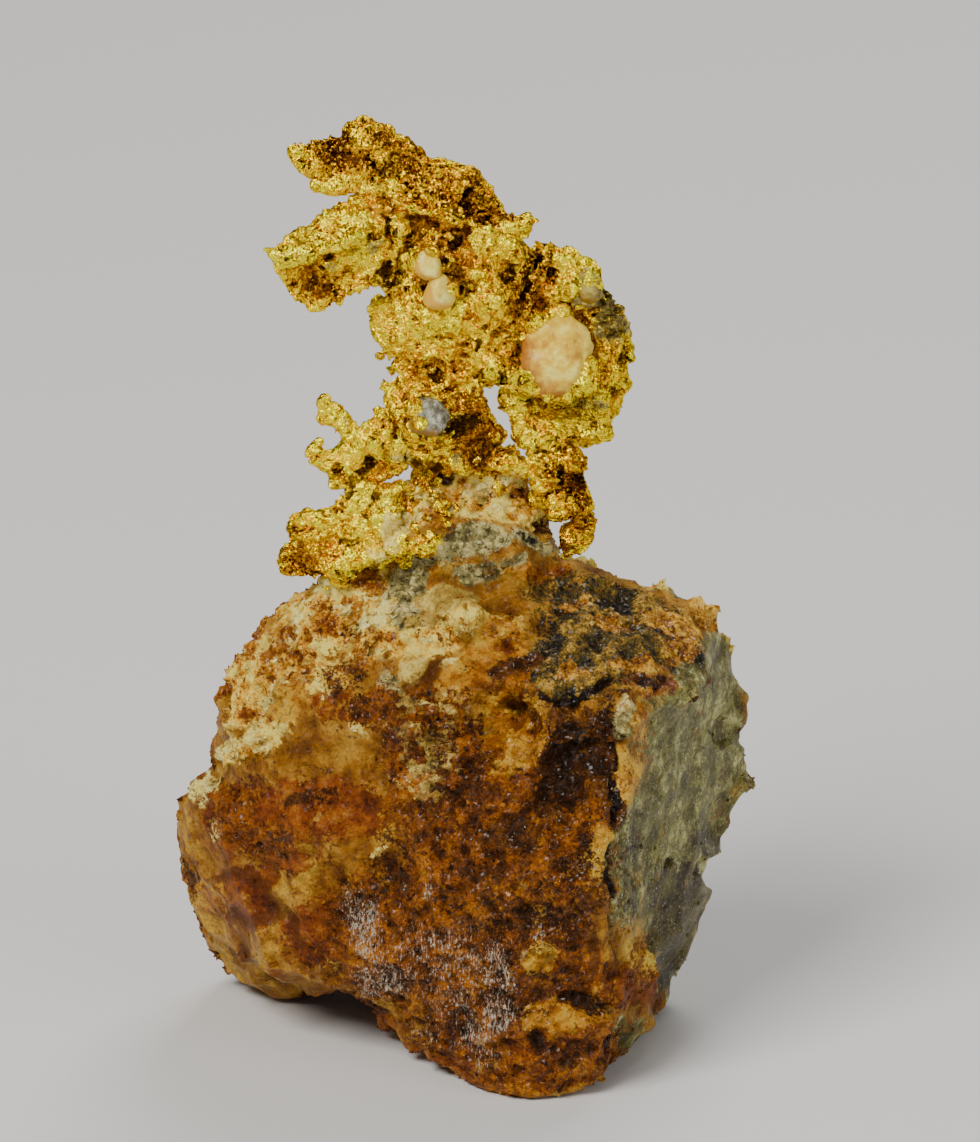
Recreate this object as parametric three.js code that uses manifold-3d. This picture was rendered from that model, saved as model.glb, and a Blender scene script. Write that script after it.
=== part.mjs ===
// Crystalline gold on quartz: a miniature mineral specimen about 50 mm tall.
// A mass of hackly, leafy gold stands on the crest of a block of iron-stained vein quartz.
// The gold is split at its main forks, and it holds five grains of quartz.
// Units are millimetres, +Z is up, -Y is the display side, and the block rests on Z = 0.
import * as THREE from "three";
import { ConvexGeometry } from "three/addons/geometries/ConvexGeometry.js";
import { mergeVertices } from "three/addons/utils/BufferGeometryUtils.js";
import Module from "manifold-3d";

const wasm = await Module();
wasm.setup();

// ---------------------------------------------------------------- driving dimensions
const CLEARANCE = 0.3; // gap kept between pieces that touch
const ROCK_EDGE = 4.6; // longest edge left on the fractured rock faces
const ROCK_CHIP = 0.36; // depth of the hollows and bumps on those faces
const ROCK_CHIP_SIZE = 2.4; // width of those hollows and bumps
const BROAD_SHARE = 0.7; // share of the chipping that is that wide
const FINE_SHARE = 0.5; // share that is half as wide
const NODULE_CORNERS = 11; // corners of a gold nodule
const NODULE_FULLNESS = 1.12; // mean distance of those corners, as a share of the nodule's radius
const NODULE_CHIP = 0.14; // unevenness of that distance, as a share of the radius
const CRYSTALS_PER_MM = 0.9; // crystals on a nodule, for each millimetre of its radius
const CRYSTAL_REACH = 0.38; // how far a gold crystal's middle may move out, at most
const CRYSTAL_SIZE = 0.38; // size of a crystal, as a share of its nodule's radius
const CRYSTAL_SPREAD = 0.14; // variation of that share
const CRYSTAL_SINK = 0.6; // share of a crystal that is sunk in its nodule
const LEAF_THICKNESS = 0.8; // thickness of a leaf of gold
const GRAIN_UNEVENNESS = 0.08; // unevenness of a quartz grain, as a share of its size

// ---------------------------------------------------------------- solids and meshes
function solidOf(geometry) {
  const bare = geometry.clone();
  bare.deleteAttribute("normal");
  bare.deleteAttribute("uv");
  const merged = mergeVertices(bare, 1e-4);
  return new wasm.Manifold(
    new wasm.Mesh({
      numProp: 3,
      vertProperties: new Float32Array(merged.attributes.position.array),
      triVerts: new Uint32Array(merged.index.array),
    }),
  );
}

function geometryOf(solid) {
  const mesh = solid.getMesh();
  const geometry = new THREE.BufferGeometry();
  geometry.setAttribute("position", new THREE.BufferAttribute(mesh.vertProperties.slice(), 3));
  geometry.setIndex(new THREE.BufferAttribute(mesh.triVerts.slice(), 1));
  return geometry;
}

const joined = (solids) => solids.reduce((sum, solid) => sum.add(solid));

// A boolean can leave slivers behind, so only the largest body is the piece.
function largest(solid) {
  return solid.decompose().sort((a, b) => b.volume() - a.volume())[0];
}

// ---------------------------------------------------------------- repeatable unevenness
function lattice(i, j, k) {
  const s = Math.sin(i * 127.1 + j * 311.7 + k * 74.7) * 43758.5453;
  return 2 * (s - Math.floor(s)) - 1;
}

// Smooth noise from -1 to 1, with one bump about every unit of length.
function noise(x, y, z) {
  const [i, j, k] = [Math.floor(x), Math.floor(y), Math.floor(z)];
  const ease = (t) => t * t * (3 - 2 * t);
  const [u, v, w] = [ease(x - i), ease(y - j), ease(z - k)];
  const mix = THREE.MathUtils.lerp;
  const edge = (dj, dk) => mix(lattice(i, j + dj, k + dk), lattice(i + 1, j + dj, k + dk), u);
  return mix(mix(edge(0, 0), edge(1, 0), v), mix(edge(0, 1), edge(1, 1), v), w);
}

// ---------------------------------------------------------------- quartz block
// Splits every edge longer than the limit at its middle, the same way in both of its triangles.
function subdivided(geometry, longestEdge) {
  let triangles = [];
  const position = geometry.attributes.position;
  const corner = (i) => new THREE.Vector3().fromBufferAttribute(position, geometry.index.getX(i));
  for (let i = 0; i < geometry.index.count; i += 3) {
    triangles.push([corner(i), corner(i + 1), corner(i + 2)]);
  }
  const middle = (p, q) => p.clone().add(q).multiplyScalar(0.5);
  for (let split = true; split; ) {
    split = false;
    const next = [];
    for (const [a, b, c] of triangles) {
      const sides = [[a, b, c], [b, c, a], [c, a, b]];
      const long = sides.filter(([p, q]) => p.distanceTo(q) > longestEdge);
      if (long.length === 0) {
        next.push([a, b, c]);
      } else if (long.length === 3) {
        const [ab, bc, ca] = [middle(a, b), middle(b, c), middle(c, a)];
        next.push([a, ab, ca], [ab, b, bc], [ca, bc, c], [ab, bc, ca]);
        split = true;
      } else if (long.length === 1) {
        const [p, q, r] = long[0];
        const pq = middle(p, q);
        next.push([p, pq, r], [pq, q, r]);
        split = true;
      } else {
        const [p, q, r] = sides.find(([s, t]) => s.distanceTo(t) <= longestEdge);
        const [qr, rp] = [middle(q, r), middle(r, p)];
        next.push([p, q, qr], [p, qr, rp], [rp, qr, r]);
        split = true;
      }
    }
    triangles = next;
  }
  return mergeVertices(new THREE.BufferGeometry().setFromPoints(triangles.flat()), 1e-4);
}

// Moves each point along its normal, so that flat sides read as fractured rock.
function chipped(geometry, depth, size) {
  geometry.computeVertexNormals();
  const position = geometry.attributes.position;
  const normal = geometry.attributes.normal;
  for (let i = 0; i < position.count; i += 1) {
    const point = new THREE.Vector3().fromBufferAttribute(position, i);
    const along = new THREE.Vector3().fromBufferAttribute(normal, i);
    const broad = noise(point.x / size, point.y / size, point.z / size);
    const fine = noise(point.x / size + 40, (2 * point.y) / size, (2 * point.z) / size);
    point.addScaledVector(along, depth * (BROAD_SHARE * broad + FINE_SHARE * fine));
    position.setXYZ(i, point.x, point.y, point.z);
  }
  return geometry;
}

const block = (corners) => solidOf(new ConvexGeometry(corners.map((c) => new THREE.Vector3(...c))));

// The convex blocks that the quartz broke along, each by its corners.
const ROCK_BLOCKS = {
  rusty_front: [
    [3.4, -11, -0.6], [5.4, -10.3, -0.6], [8.9, -2.8, -1], [10.2, 5, -1], [6, 10.4, -1], [-4, 9.6, -1],
    [-3.8, -4.6, 1.6], [-0.4, -8.6, 0.4], [7.3, -10.8, 8], [7.2, -10.4, 14.5], [2, -10.8, 12],
    [-4.4, -7.5, 9], [-7, -4, 5], [11.5, 6, 12], [5, 12, 10], [-6, 11.6, 10], [-8, 7, 12],
    [7.6, -8.8, 19.6], [2, -8.9, 19], [-3.6, -7.2, 18], [9.5, 6, 20], [2, 10, 19], [-6, 8, 19],
  ],
  left_lobe: [
    [-15.2, 2, 12], [-15.1, 3, 9], [-14.6, 4, 5.7], [-14.1, 5, 2.8], [-12.6, 6, 0.8],
    [-11.2, 6.8, -0.6], [-10.6, 7.4, -0.6], [-8.4, 3, 2.8], [-6, -3.6, 3.4], [-8.6, -3, 4.2],
    [-12.6, -1.6, 8], [-12.8, -1.8, 11.4], [-14.4, 0.6, 13.4], [-11.4, 9, 4], [-12, 9, 11], [-6, 9, 2.6],
    [-2, -8.9, 9], [-2, -8.9, 13], [-3, -7.4, 4.6], [-11, -3.5, 13.6], [-8, 9, 14],
  ],
  left_step: [
    [-13.4, 1, 14.9], [-12.6, 0, 17], [-12.7, 0, 19.2], [-10.8, 0, 21.6], [-9.5, 0, 23.5],
    [-10.7, -3.5, 13.2], [-9.8, -3.5, 18.6], [-8.4, -3.3, 21.5], [-2, -8.7, 12], [-2, -8.1, 19.2],
    [-11, 6, 13], [-10, 6.4, 19], [-6, 8.4, 20], [-4, 2, 24.3],
  ],
  pale_slab: [
    [7.8, -9.6, 18.8], [7.6, -10, 9], [8, -7.6, 3], [9.4, -2, 0.6], [10.9, 4, 0.4],
    [12.3, 4.6, 5.2], [11.4, 4.2, 1.2], [14.6, 4.8, 10.8], [14.9, 5, 12.6], [14.1, 4.8, 14.8],
    [14, 4, 19.4], [13.6, 3, 21.2], [11.3, -2.8, 20.6], [9, 10, 3], [10, 11, 10], [9.5, 9.6, 18],
  ],
  slab_knob: [
    [13.2, 2.8, 15.2], [14.9, 4.2, 16], [15.2, 4.4, 17.2], [13.8, 3.2, 19], [12.4, 6, 15.4],
    [12.4, 6, 18],
  ],
  dark_ledge: [
    [3.9, -9.7, 18.8], [8.2, -9.6, 19.2], [12, -3.8, 19.8], [13.9, 2.2, 20.8], [13.2, 2.6, 22.5],
    [12, 1.8, 23.3], [9.1, 1, 24], [5.7, 0.6, 25.5], [3.4, -8.3, 21.2], [8.4, -7.2, 21.4],
    [9, 6.6, 18.4], [4, 8, 19], [4.6, 5.5, 23.4],
  ],
  shoulder: [
    [-9.4, -0.4, 23.6], [-8.4, -0.6, 24.6], [-6.2, -0.8, 25.7], [-8.4, -3.6, 22], [-3.2, -5.8, 21.8],
    [3.4, -6.6, 22.2], [-1, -4.9, 24.6], [3, -4.8, 24.3], [5.6, 0, 25], [4.4, 6.2, 23.6],
    [-5, 6.4, 23.6], [-8.2, 4.4, 21], [-5, 7.6, 18], [4, 8.6, 17], [0, -7.4, 18],
  ],
  crest: [
    [-5.6, -0.6, 25.6], [-4.2, -0.8, 28.2], [-3, -0.6, 30], [0.3, -0.4, 30.9], [2.9, -0.2, 30.3],
    [4.1, 0, 29], [4.6, 0, 26.4], [-2.6, -4, 24.2], [2.8, -3.7, 24.2], [-1.4, -2.8, 28],
    [2.4, -2.6, 27.8], [0, 3.4, 28.4], [3.4, 3.2, 26.8], [-3.4, 3.4, 26.4], [-4, 5, 22], [4, 5, 22],
  ],
  clay_flake: [
    [-1.9, -5.5, 25], [-0.4, -6.3, 24.1], [1.2, -6, 24.8], [0.8, -4.8, 25.6], [-0.9, -5, 25.6],
    [-0.2, -3.6, 23.6],
  ],
};

// Wedges broken out of the block: fissures, notches and the hollow under the base.
const ROCK_NOTCHES = {
  slab_fissure: [[6.9, -12, 18], [9.4, -12, 18], [6.9, -12, 2], [9.4, -12, 2], [7.7, -9, 17], [7.7, -8.6, 4]],
  left_notch: [
    [-16, -3, 14.8], [-16, 4, 14.6], [-16, -3, 15.8], [-16, 4, 15.8], [-11.4, -1.6, 14.8], [-12.2, 3, 15],
  ],
  under_ledge: [
    [3.8, -12, 18.8], [9.4, -11, 19], [3.8, -12, 16.4], [9.4, -11, 16.2], [4.2, -8.4, 18.6],
    [8.6, -7.8, 18.8],
  ],
  slab_bite: [[15.4, 0, 11.2], [15.4, 9, 11], [16, 0, 5.2], [16, 9, 5.2], [12, 1, 6.9], [12, 9, 6.8]],
  base_hollow: [
    [-10, -7, -2], [-1.6, -12, -2], [-9.6, 5, -2], [0, 1, -2], [-5, 1, 1.3], [-6.4, -3.4, 3], [-8.3, 3, 2],
  ],
  left_arch: [[-9.4, -4, -2], [-7.2, -4, -2], [-9.6, 10, -2], [-7, 10, -2], [-8.3, 0, 2.9], [-8.3, 10, 0.7]],
  back_ledge: [[-9, 13, 15], [7, 14, 13], [-9, 13, 24], [7, 14, 24], [-8, 6.6, 15.6], [6, 8.4, 14]],
};

function quartzBlock() {
  const stock = joined(Object.values(ROCK_BLOCKS).map(block));
  const notched = Object.values(ROCK_NOTCHES).map(block).reduce((sum, cut) => sum.subtract(cut), stock);
  const rough = solidOf(chipped(subdivided(geometryOf(notched), ROCK_EDGE), ROCK_CHIP, ROCK_CHIP_SIZE));
  const below = new THREE.BoxGeometry(80, 80, 20).translate(0, 0, -10);
  return rough.subtract(solidOf(below));
}

// ---------------------------------------------------------------- gold
// Each branch is made of runs of nodules: x, y, z of the centre and the radius. A run is filled between
// each nodule and the next.
const GOLD_RUNS = {
  gold_trunk: [
    [[-2.9, -1, 41.3, 0.7], [-3, -1.1, 39.2, 0.8], [-2.1, -1.1, 36.8, 0.8], [-2.7, -1.4, 35, 0.7]],
    [[0.5, -0.9, 43.3, 0.8], [1.2, -1, 40.5, 0.8], [0.7, -1.1, 38.4, 0.8], [-0.2, -1.2, 36.5, 0.8]],
    [[-1, -0.8, 44.9, 0.7], [-1.3, -1, 41.3, 0.7], [-0.9, -1.1, 38.5, 0.7]],
    [[0.3, -1.3, 34.4, 0.6], [-0.2, -1.5, 32.9, 0.7], [-1.8, -1.5, 32.8, 0.6]],
    [
      [-2.9, 1, 45.9, 1], [-1.7, 1, 42, 1.4], [-1, 1, 39.1, 1.5],
      [-0.9, 0.6, 37, 1.5], [-1.4, 0.2, 35, 1.2], [-1, 0, 33.2, 1.4], [-0.2, -0.6, 32.1, 1],
    ],
    [
      [-3.5, 0.6, 47.4, 1], [-1.8, 0.6, 46.7, 1.1], [-0.2, 0.5, 45.9, 1.1], [1.1, 0.4, 44.6, 0.9],
      [1.7, 0.4, 43.8, 0.7],
    ],
    [[1.1, 0.2, 44.2, 0.7], [2.4, 0.2, 43.9, 0.6], [3.4, 0.1, 44.1, 0.4]],
    [
      [-4.1, 0.2, 45.4, 1], [-2.3, 0, 45, 1.4], [-0.5, 0, 44.3, 1.4], [1.3, 0, 42.8, 1.2],
      [2.8, 0.2, 42, 0.9],
    ],
    [[-3.5, -0.3, 43.4, 1], [-1.8, -0.2, 42.5, 1.4], [0.3, -0.2, 41.9, 1.5], [2, 0, 40.9, 1.2]],
    [
      [-3.8, -0.5, 41.9, 0.6], [-3.2, -0.5, 39.9, 1.1], [-1.7, -0.4, 39.6, 1.6], [0.3, -0.3, 39.1, 1.7],
      [1.8, -0.1, 38.8, 1.1],
    ],
    [[-4.2, -0.6, 39.7, 0.7], [-4, -0.6, 38.3, 0.7], [-2.4, -0.5, 37.5, 1.4]],
    [[-2.4, -0.5, 37.5, 1.4], [-0.5, -0.5, 37.3, 1.6], [1.3, -0.3, 37.3, 1.1]],
    [[-3.1, -0.7, 36.3, 0.9], [-2.1, -0.8, 35.5, 1.4], [-0.5, -0.8, 35.3, 1.2], [0.5, -0.6, 35.9, 0.8]],
    [
      [-3.6, -0.8, 35.2, 0.8], [-3, -1, 33.8, 1.1], [-1.3, -1, 33.5, 1.6], [0.4, -1, 33.5, 1.1],
      [1.2, -1, 33.2, 0.8],
    ],
    [[-2.3, -1, 32.2, 1], [-0.5, -1.1, 32.1, 1.2], [1.1, -1.2, 31.9, 0.9], [2.6, -1.4, 31.4, 0.5]],
  ],
  gold_crest: [
    [[-5.4, 0.6, 48.4, 1], [-4.5, 0.6, 48.2, 0.9]],
    [[-7.1, 0.3, 48, 0.8], [-6, 0.3, 47.5, 0.9], [-4.6, 0.4, 47.1, 0.9]],
    [
      [-8.5, 0.1, 48, 0.5], [-8.1, 0.1, 47.2, 0.5], [-7.4, 0.2, 46.8, 0.4], [-5.9, 0.1, 46.6, 0.6],
      [-4.7, 0.2, 46.3, 0.6],
    ],
    [[-7.4, -0.3, 46.1, 0.3], [-6.7, -0.3, 46.1, 0.3], [-6.2, -0.2, 46.5, 0.2]],
    [[-4.8, 0, 46, 0.7], [-5.3, -0.3, 44.8, 0.7]],
  ],
  gold_beak_leaf: [
    [[-3.8, -0.6, 44.4, 0.9], [-4, -1, 43.1, 0.8], [-4.6, -1.2, 42.1, 0.5]],
    [[-6.6, -1.5, 40.5, 0.4], [-7.6, -1.6, 40.3, 0.4], [-8.8, -1.8, 41.3, 0.4]],
  ],
  gold_right_lobe: [
    [[3.4, 0.9, 41.5, 1.1], [3.4, 1, 38.6, 1.1], [3.4, 1, 35.5, 0.8], [3.6, 0.4, 33.1, 0.7]],
    [
      [3.9, 0.4, 42.4, 0.7], [5.3, 0.5, 41.8, 0.8], [6.1, 0.6, 40.5, 0.9], [7.2, 0.6, 38.6, 1.1],
      [7.4, 0.6, 36.7, 1.2], [7.1, 0.4, 34.8, 1.1], [6.6, 0.2, 33.4, 0.9],
    ],
    [[6.6, 0.2, 33.4, 0.9], [4.9, -0.2, 33.1, 1], [3.8, -0.6, 32.8, 0.7]],
    [
      [3.4, 0.3, 41.2, 1], [3.3, 0.2, 39.6, 0.8], [3.1, 0, 37.8, 0.5], [2.9, -0.2, 36.1, 0.4],
      [2.5, -0.4, 34.7, 0.4], [2.9, -0.6, 33.2, 0.5], [3.7, -0.6, 32.7, 0.6],
    ],
    [[4.9, 0.8, 40.6, 1.2], [4.7, 2, 37.7, 1.6], [4.7, 2.2, 35.4, 1.7], [4.7, 1.4, 33.9, 1.5]],
  ],
  gold_hanging_spur: [
    [
      [3.7, -1, 31.6, 0.7], [5, -1, 31.6, 0.8], [5.8, -1.1, 30.8, 0.6], [6, -1.3, 29.5, 0.5],
      [6.1, -1.4, 28.2, 0.4], [5.6, -1.6, 27.3, 0.5], [5.1, -1.7, 26.8, 0.3],
    ],
    [[4.2, -1.2, 31.3, 0.6], [4.3, -1.4, 30, 0.6], [4.7, -1.6, 29.2, 0.3]],
    [[4.3, -1.4, 30.3, 0.5], [5.7, -1.3, 29.9, 0.6]],
  ],
  gold_left_spray: [
    [[-7.4, -1.6, 34.9, 0.3], [-7, -1.6, 34.2, 0.5], [-6.1, -1.5, 33.3, 0.5], [-5, -1.4, 32.8, 0.7]],
    [[-7.5, -1.6, 33, 0.3], [-7.9, -1.6, 32.2, 0.4], [-6.9, -1.5, 31.7, 0.6], [-5.9, -1.5, 32, 0.8]],
    [
      [-4.4, -1.3, 34.3, 0.4], [-4.2, -1.2, 33.1, 0.8], [-5.6, -1.4, 32.3, 0.8], [-6.2, -1.5, 31.1, 0.7],
      [-5.9, -1.6, 30, 0.6],
    ],
    [[-3.6, -1.1, 33.6, 0.7], [-3.8, -1.2, 32.2, 0.6], [-4.6, -1.3, 31.8, 0.5]],
  ],
  gold_foot_sheet: [
    [[-6.1, -1.9, 29.2, 0.7], [-7.2, -1.8, 28.6, 0.7], [-8.4, -1.5, 27.9, 0.7], [-8.7, -1.5, 28.2, 0.5]],
    [[-6.2, -2, 27.2, 0.7], [-7.6, -1.6, 26.5, 0.7], [-8.7, -1.3, 26.2, 0.8], [-9.3, -1.2, 26.1, 0.4]],
    [[-6, -1.9, 29.7, 0.7], [-4.2, -2, 29.7, 0.9], [-3.2, -2.2, 30.1, 0.6]],
    [[-5.9, -2.2, 28.3, 0.9], [-4.5, -2.4, 28.8, 0.9], [-3.6, -2.5, 29.4, 0.7]],
    [[-4.8, -2.6, 27.5, 0.5], [-6.1, -2.4, 26.8, 0.5]],
  ],
};

// Leaves of gold, each a flat plate by its corners. In the beak two plates rise from the fold and two hang
// from it. In the spray and the foot sheet they carry the fingers and the lumps.
const GOLD_LEAVES = {
  gold_beak_leaf: [
    [[-10.2, -2.9, 43.5], [-8.6, -1.9, 44.1], [-7.5, -1.3, 44.5], [-6, -2.4, 43.7], [-8.6, -2.9, 43.2]],
    [
      [-7.5, -1.3, 44.5], [-7.3, -0.9, 44.9], [-6.1, -0.4, 45.2], [-3.7, 0.2, 45.4], [-3.7, -1.8, 44.2],
      [-6, -2.4, 43.7],
    ],
    [[-10, -2.9, 43.4], [-9.4, -2.2, 41.7], [-8.4, -1.7, 40.6], [-6.8, -2.7, 43.6], [-8.6, -2.9, 43.2]],
    [
      [-6.8, -2.7, 43.6], [-8.4, -1.7, 40.6], [-7.6, -1.5, 39.9], [-5.9, -1.4, 40.6], [-4, -1.2, 41.7],
      [-3.7, -1.9, 44.2],
    ],
  ],
  gold_left_spray: [
    [
      [-7.4, -1.6, 31.7], [-6, -1.5, 33.2], [-4.3, -1.2, 34.5], [-3, -1, 34.6], [-3.1, -1.1, 31.5],
      [-4.1, -1.3, 31.1], [-5.9, -1.6, 29.9], [-6.7, -1.6, 30.5],
    ],
  ],
  gold_foot_sheet: [
    [
      [-8.8, -1.6, 28.5], [-7.4, -1.7, 29.4], [-6, -1.9, 30], [-2.3, -2, 30.5], [-2.1, -2.6, 28.8],
      [-3.6, -2.9, 27.5], [-7, -2.2, 27.2], [-8.7, -1.7, 27.4],
    ],
    [
      [-9.5, -1.4, 26.7], [-8.6, -1.5, 27.6], [-6, -2.1, 28.2], [-3.6, -2.8, 28.1], [-4.8, -2.9, 26.9],
      [-7, -2.2, 25.8], [-8.6, -1.6, 25.3], [-9.4, -1.4, 25.8],
    ],
  ],
};

// Directions spread evenly over a sphere, turned about its axis by the given angle.
function evenDirections(count, turn) {
  const goldenAngle = Math.PI * (3 - Math.sqrt(5));
  return Array.from({ length: count }, (_, i) => {
    const height = 1 - (2 * (i + 0.5)) / count;
    const ring = Math.sqrt(1 - height * height);
    const around = i * goldenAngle + turn;
    return new THREE.Vector3(ring * Math.cos(around), ring * Math.sin(around), height);
  });
}

// The corners of an uneven, flat-sided lump of gold. Its clearance copy is the same lump, grown all round.
function nodule([x, y, z, radius], grow) {
  return evenDirections(NODULE_CORNERS, 4 * x + z).map((out, i) => {
    const reach = radius * (NODULE_FULLNESS + NODULE_CHIP * lattice(i, x, z)) + grow;
    return new THREE.Vector3(x, y, z).addScaledVector(out, reach);
  });
}

// One limb for each pair of neighbours in the run.
function limbs(run, grow) {
  return run.slice(1).map((n, i) => {
    return solidOf(new ConvexGeometry([...nodule(run[i], grow), ...nodule(n, grow)]));
  });
}

// Octahedral crystals that stand out of a nodule, spread over it and turned at random.
function crystals([x, y, z, radius], grow) {
  const count = Math.round(CRYSTALS_PER_MM * radius);
  return evenDirections(count, 5 * x + y).map((out, i) => {
    const size = radius * (CRYSTAL_SIZE + CRYSTAL_SPREAD * lattice(i, x, z));
    const reach = radius + (CRYSTAL_REACH / 2) * (1 + lattice(i, y, z)) - CRYSTAL_SINK * size;
    const turn = new THREE.Euler(3 * lattice(x, i, 1), 3 * lattice(y, i, 2), 3 * lattice(z, i, 3));
    const crystal = new THREE.OctahedronGeometry(size + grow);
    crystal.applyMatrix4(new THREE.Matrix4().makeRotationFromEuler(turn));
    crystal.translate(x + out.x * reach, y + out.y * reach, z + out.z * reach);
    return solidOf(crystal);
  });
}

// A flat plate with these corners. They need not lie quite in one plane.
function plate(corners, grow) {
  const points = corners.map((c) => new THREE.Vector3(...c));
  const middle = points.reduce((sum, p) => sum.add(p), new THREE.Vector3()).divideScalar(points.length);
  const last = points[points.length - 1];
  const face = new THREE.Plane().setFromCoplanarPoints(points[0], points[2], last).normal;
  const half = LEAF_THICKNESS / 2 + grow;
  const hull = points.flatMap((p) => {
    const wider = p.clone().addScaledVector(p.clone().sub(middle).normalize(), grow);
    return [wider.clone().addScaledVector(face, half), wider.addScaledVector(face, -half)];
  });
  return solidOf(new ConvexGeometry(hull));
}

function branch(name, grow = 0) {
  const runs = GOLD_RUNS[name];
  const parts = runs.flatMap((run) => limbs(run, grow));
  parts.push(...runs.flat().flatMap((n) => crystals(n, grow)));
  parts.push(...(GOLD_LEAVES[name] ?? []).map((corners) => plate(corners, grow)));
  return joined(parts);
}

// ---------------------------------------------------------------- quartz grains held by the gold
// The centre of each grain and its half-widths along x, y and z.
const QUARTZ_GRAINS = {
  quartz_grain_large: { at: [4.6, -1.3, 37.4], half: [1.85, 1.5, 2.3] },
  quartz_grain_upper: { at: [-2, -2, 42.6], half: [0.55, 0.7, 0.75] },
  quartz_grain_lower: { at: [-1.4, -2.1, 41.1], half: [0.5, 0.6, 0.7] },
  quartz_grain_grey: { at: [-2, -2.6, 34.6], half: [0.75, 0.7, 0.85] },
  quartz_grain_shoulder: { at: [6.1, -0.9, 40.9], half: [0.55, 0.6, 0.85] },
};

function grain({ at, half }, grow = 0) {
  const pebble = new THREE.IcosahedronGeometry(1, 1);
  const position = pebble.attributes.position;
  for (let i = 0; i < position.count; i += 1) {
    const out = new THREE.Vector3().fromBufferAttribute(position, i);
    const uneven = 1 + GRAIN_UNEVENNESS * noise(2 * out.x + at[0], 2 * out.y, 2 * out.z + at[2]);
    position.setXYZ(
      i,
      at[0] + out.x * (half[0] * uneven + grow),
      at[1] + out.y * (half[1] * uneven + grow),
      at[2] + out.z * (half[2] * uneven + grow),
    );
  }
  return solidOf(pebble);
}

// ---------------------------------------------------------------- assembly
const QUARTZ = { color: 0xb07a3c, roughness: 0.55, metalness: 0 };
const PALE_QUARTZ = { color: 0xd8c49a, roughness: 0.4, metalness: 0 };
const GREY_QUARTZ = { color: 0x8f918a, roughness: 0.45, metalness: 0 };
const GOLD = { color: 0xe0a92c, roughness: 0.32, metalness: 1 };

const solids = new Map();
const looks = new Map();
const grownGrains = Object.values(QUARTZ_GRAINS).map((g) => grain(g, CLEARANCE));

let taken = joined(grownGrains);
for (const name of Object.keys(GOLD_RUNS)) {
  solids.set(name, largest(branch(name).subtract(taken)));
  looks.set(name, GOLD);
  taken = taken.add(branch(name, CLEARANCE));
}
solids.set("quartz_matrix", largest(quartzBlock().subtract(taken)));
looks.set("quartz_matrix", QUARTZ);
for (const [name, shape] of Object.entries(QUARTZ_GRAINS)) {
  solids.set(name, grain(shape));
  looks.set(name, name === "quartz_grain_grey" ? GREY_QUARTZ : PALE_QUARTZ);
}

const specimen = new THREE.Group();
for (const [name, solid] of solids) {
  const mesh = new THREE.Mesh(geometryOf(solid), new THREE.MeshStandardMaterial(looks.get(name)));
  mesh.name = name;
  specimen.add(mesh);
}

// The origin is the middle of the bounding box, on the resting face.
const bounds = new THREE.Box3().setFromObject(specimen);
const centre = bounds.getCenter(new THREE.Vector3());
specimen.position.set(-centre.x, -centre.y, -bounds.min.z);

export default specimen;
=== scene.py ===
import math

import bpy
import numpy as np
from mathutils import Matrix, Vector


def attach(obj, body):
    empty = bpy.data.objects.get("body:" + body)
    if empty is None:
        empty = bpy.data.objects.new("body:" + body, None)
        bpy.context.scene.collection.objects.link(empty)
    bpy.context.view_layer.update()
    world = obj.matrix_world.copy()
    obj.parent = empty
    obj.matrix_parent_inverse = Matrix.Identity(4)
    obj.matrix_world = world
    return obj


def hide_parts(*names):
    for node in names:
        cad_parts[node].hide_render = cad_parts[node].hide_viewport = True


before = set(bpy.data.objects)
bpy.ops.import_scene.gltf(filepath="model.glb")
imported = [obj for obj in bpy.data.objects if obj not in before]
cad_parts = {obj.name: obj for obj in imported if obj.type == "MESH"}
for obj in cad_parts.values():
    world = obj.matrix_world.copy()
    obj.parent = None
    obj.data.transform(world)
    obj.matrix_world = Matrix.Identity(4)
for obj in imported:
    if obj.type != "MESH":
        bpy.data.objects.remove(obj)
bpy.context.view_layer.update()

# Crystalline gold on quartz: the looks, built round the imported solids.
#
# Shapes are worked out in millimetres and handed to Blender in metres. The display side faces -Y.
# Each imported solid gets a finely broken skin of its own. Its colours come from zones that are placed
# on the display plane, which is the plane through the camera's target, and from noise.

MM = 0.001  # metres in a millimetre
STRAY = 0.45  # mm that noise moves a place on the display plane, so no zone ends on a smooth curve
CAMERA_ELEVATION = math.radians(18)
CAMERA_DISTANCE = 500.0  # mm
FRAME_HEIGHT = 59.4  # mm seen from top to bottom at the target
SENSOR = 36.0  # mm, along the frame's long side
TARGET = np.array([1.3, -0.3, 25.2])  # mm
ACROSS = np.array([1.0, 0.0, 0.0])
UPWARD = np.array([0.0, math.sin(CAMERA_ELEVATION), math.cos(CAMERA_ELEVATION)])
TOWARD = np.array([0.0, -math.cos(CAMERA_ELEVATION), math.sin(CAMERA_ELEVATION)])


# ---------------------------------------------------------------- repeatable noise
def hashed(i, j, k, seed):
    """A repeatable number from 0 to 1 for each whole-number cell."""
    with np.errstate(over="ignore"):
        n = i.astype(np.uint32) * np.uint32(374761393) + j.astype(np.uint32) * np.uint32(668265263)
        n += k.astype(np.uint32) * np.uint32(2246822519) + np.uint32(seed * 1013904223 % 2**32)
        n = (n ^ (n >> np.uint32(13))) * np.uint32(1274126177)
        n ^= n >> np.uint32(16)
    return n.astype(np.float32) / np.float32(2**32)


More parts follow.
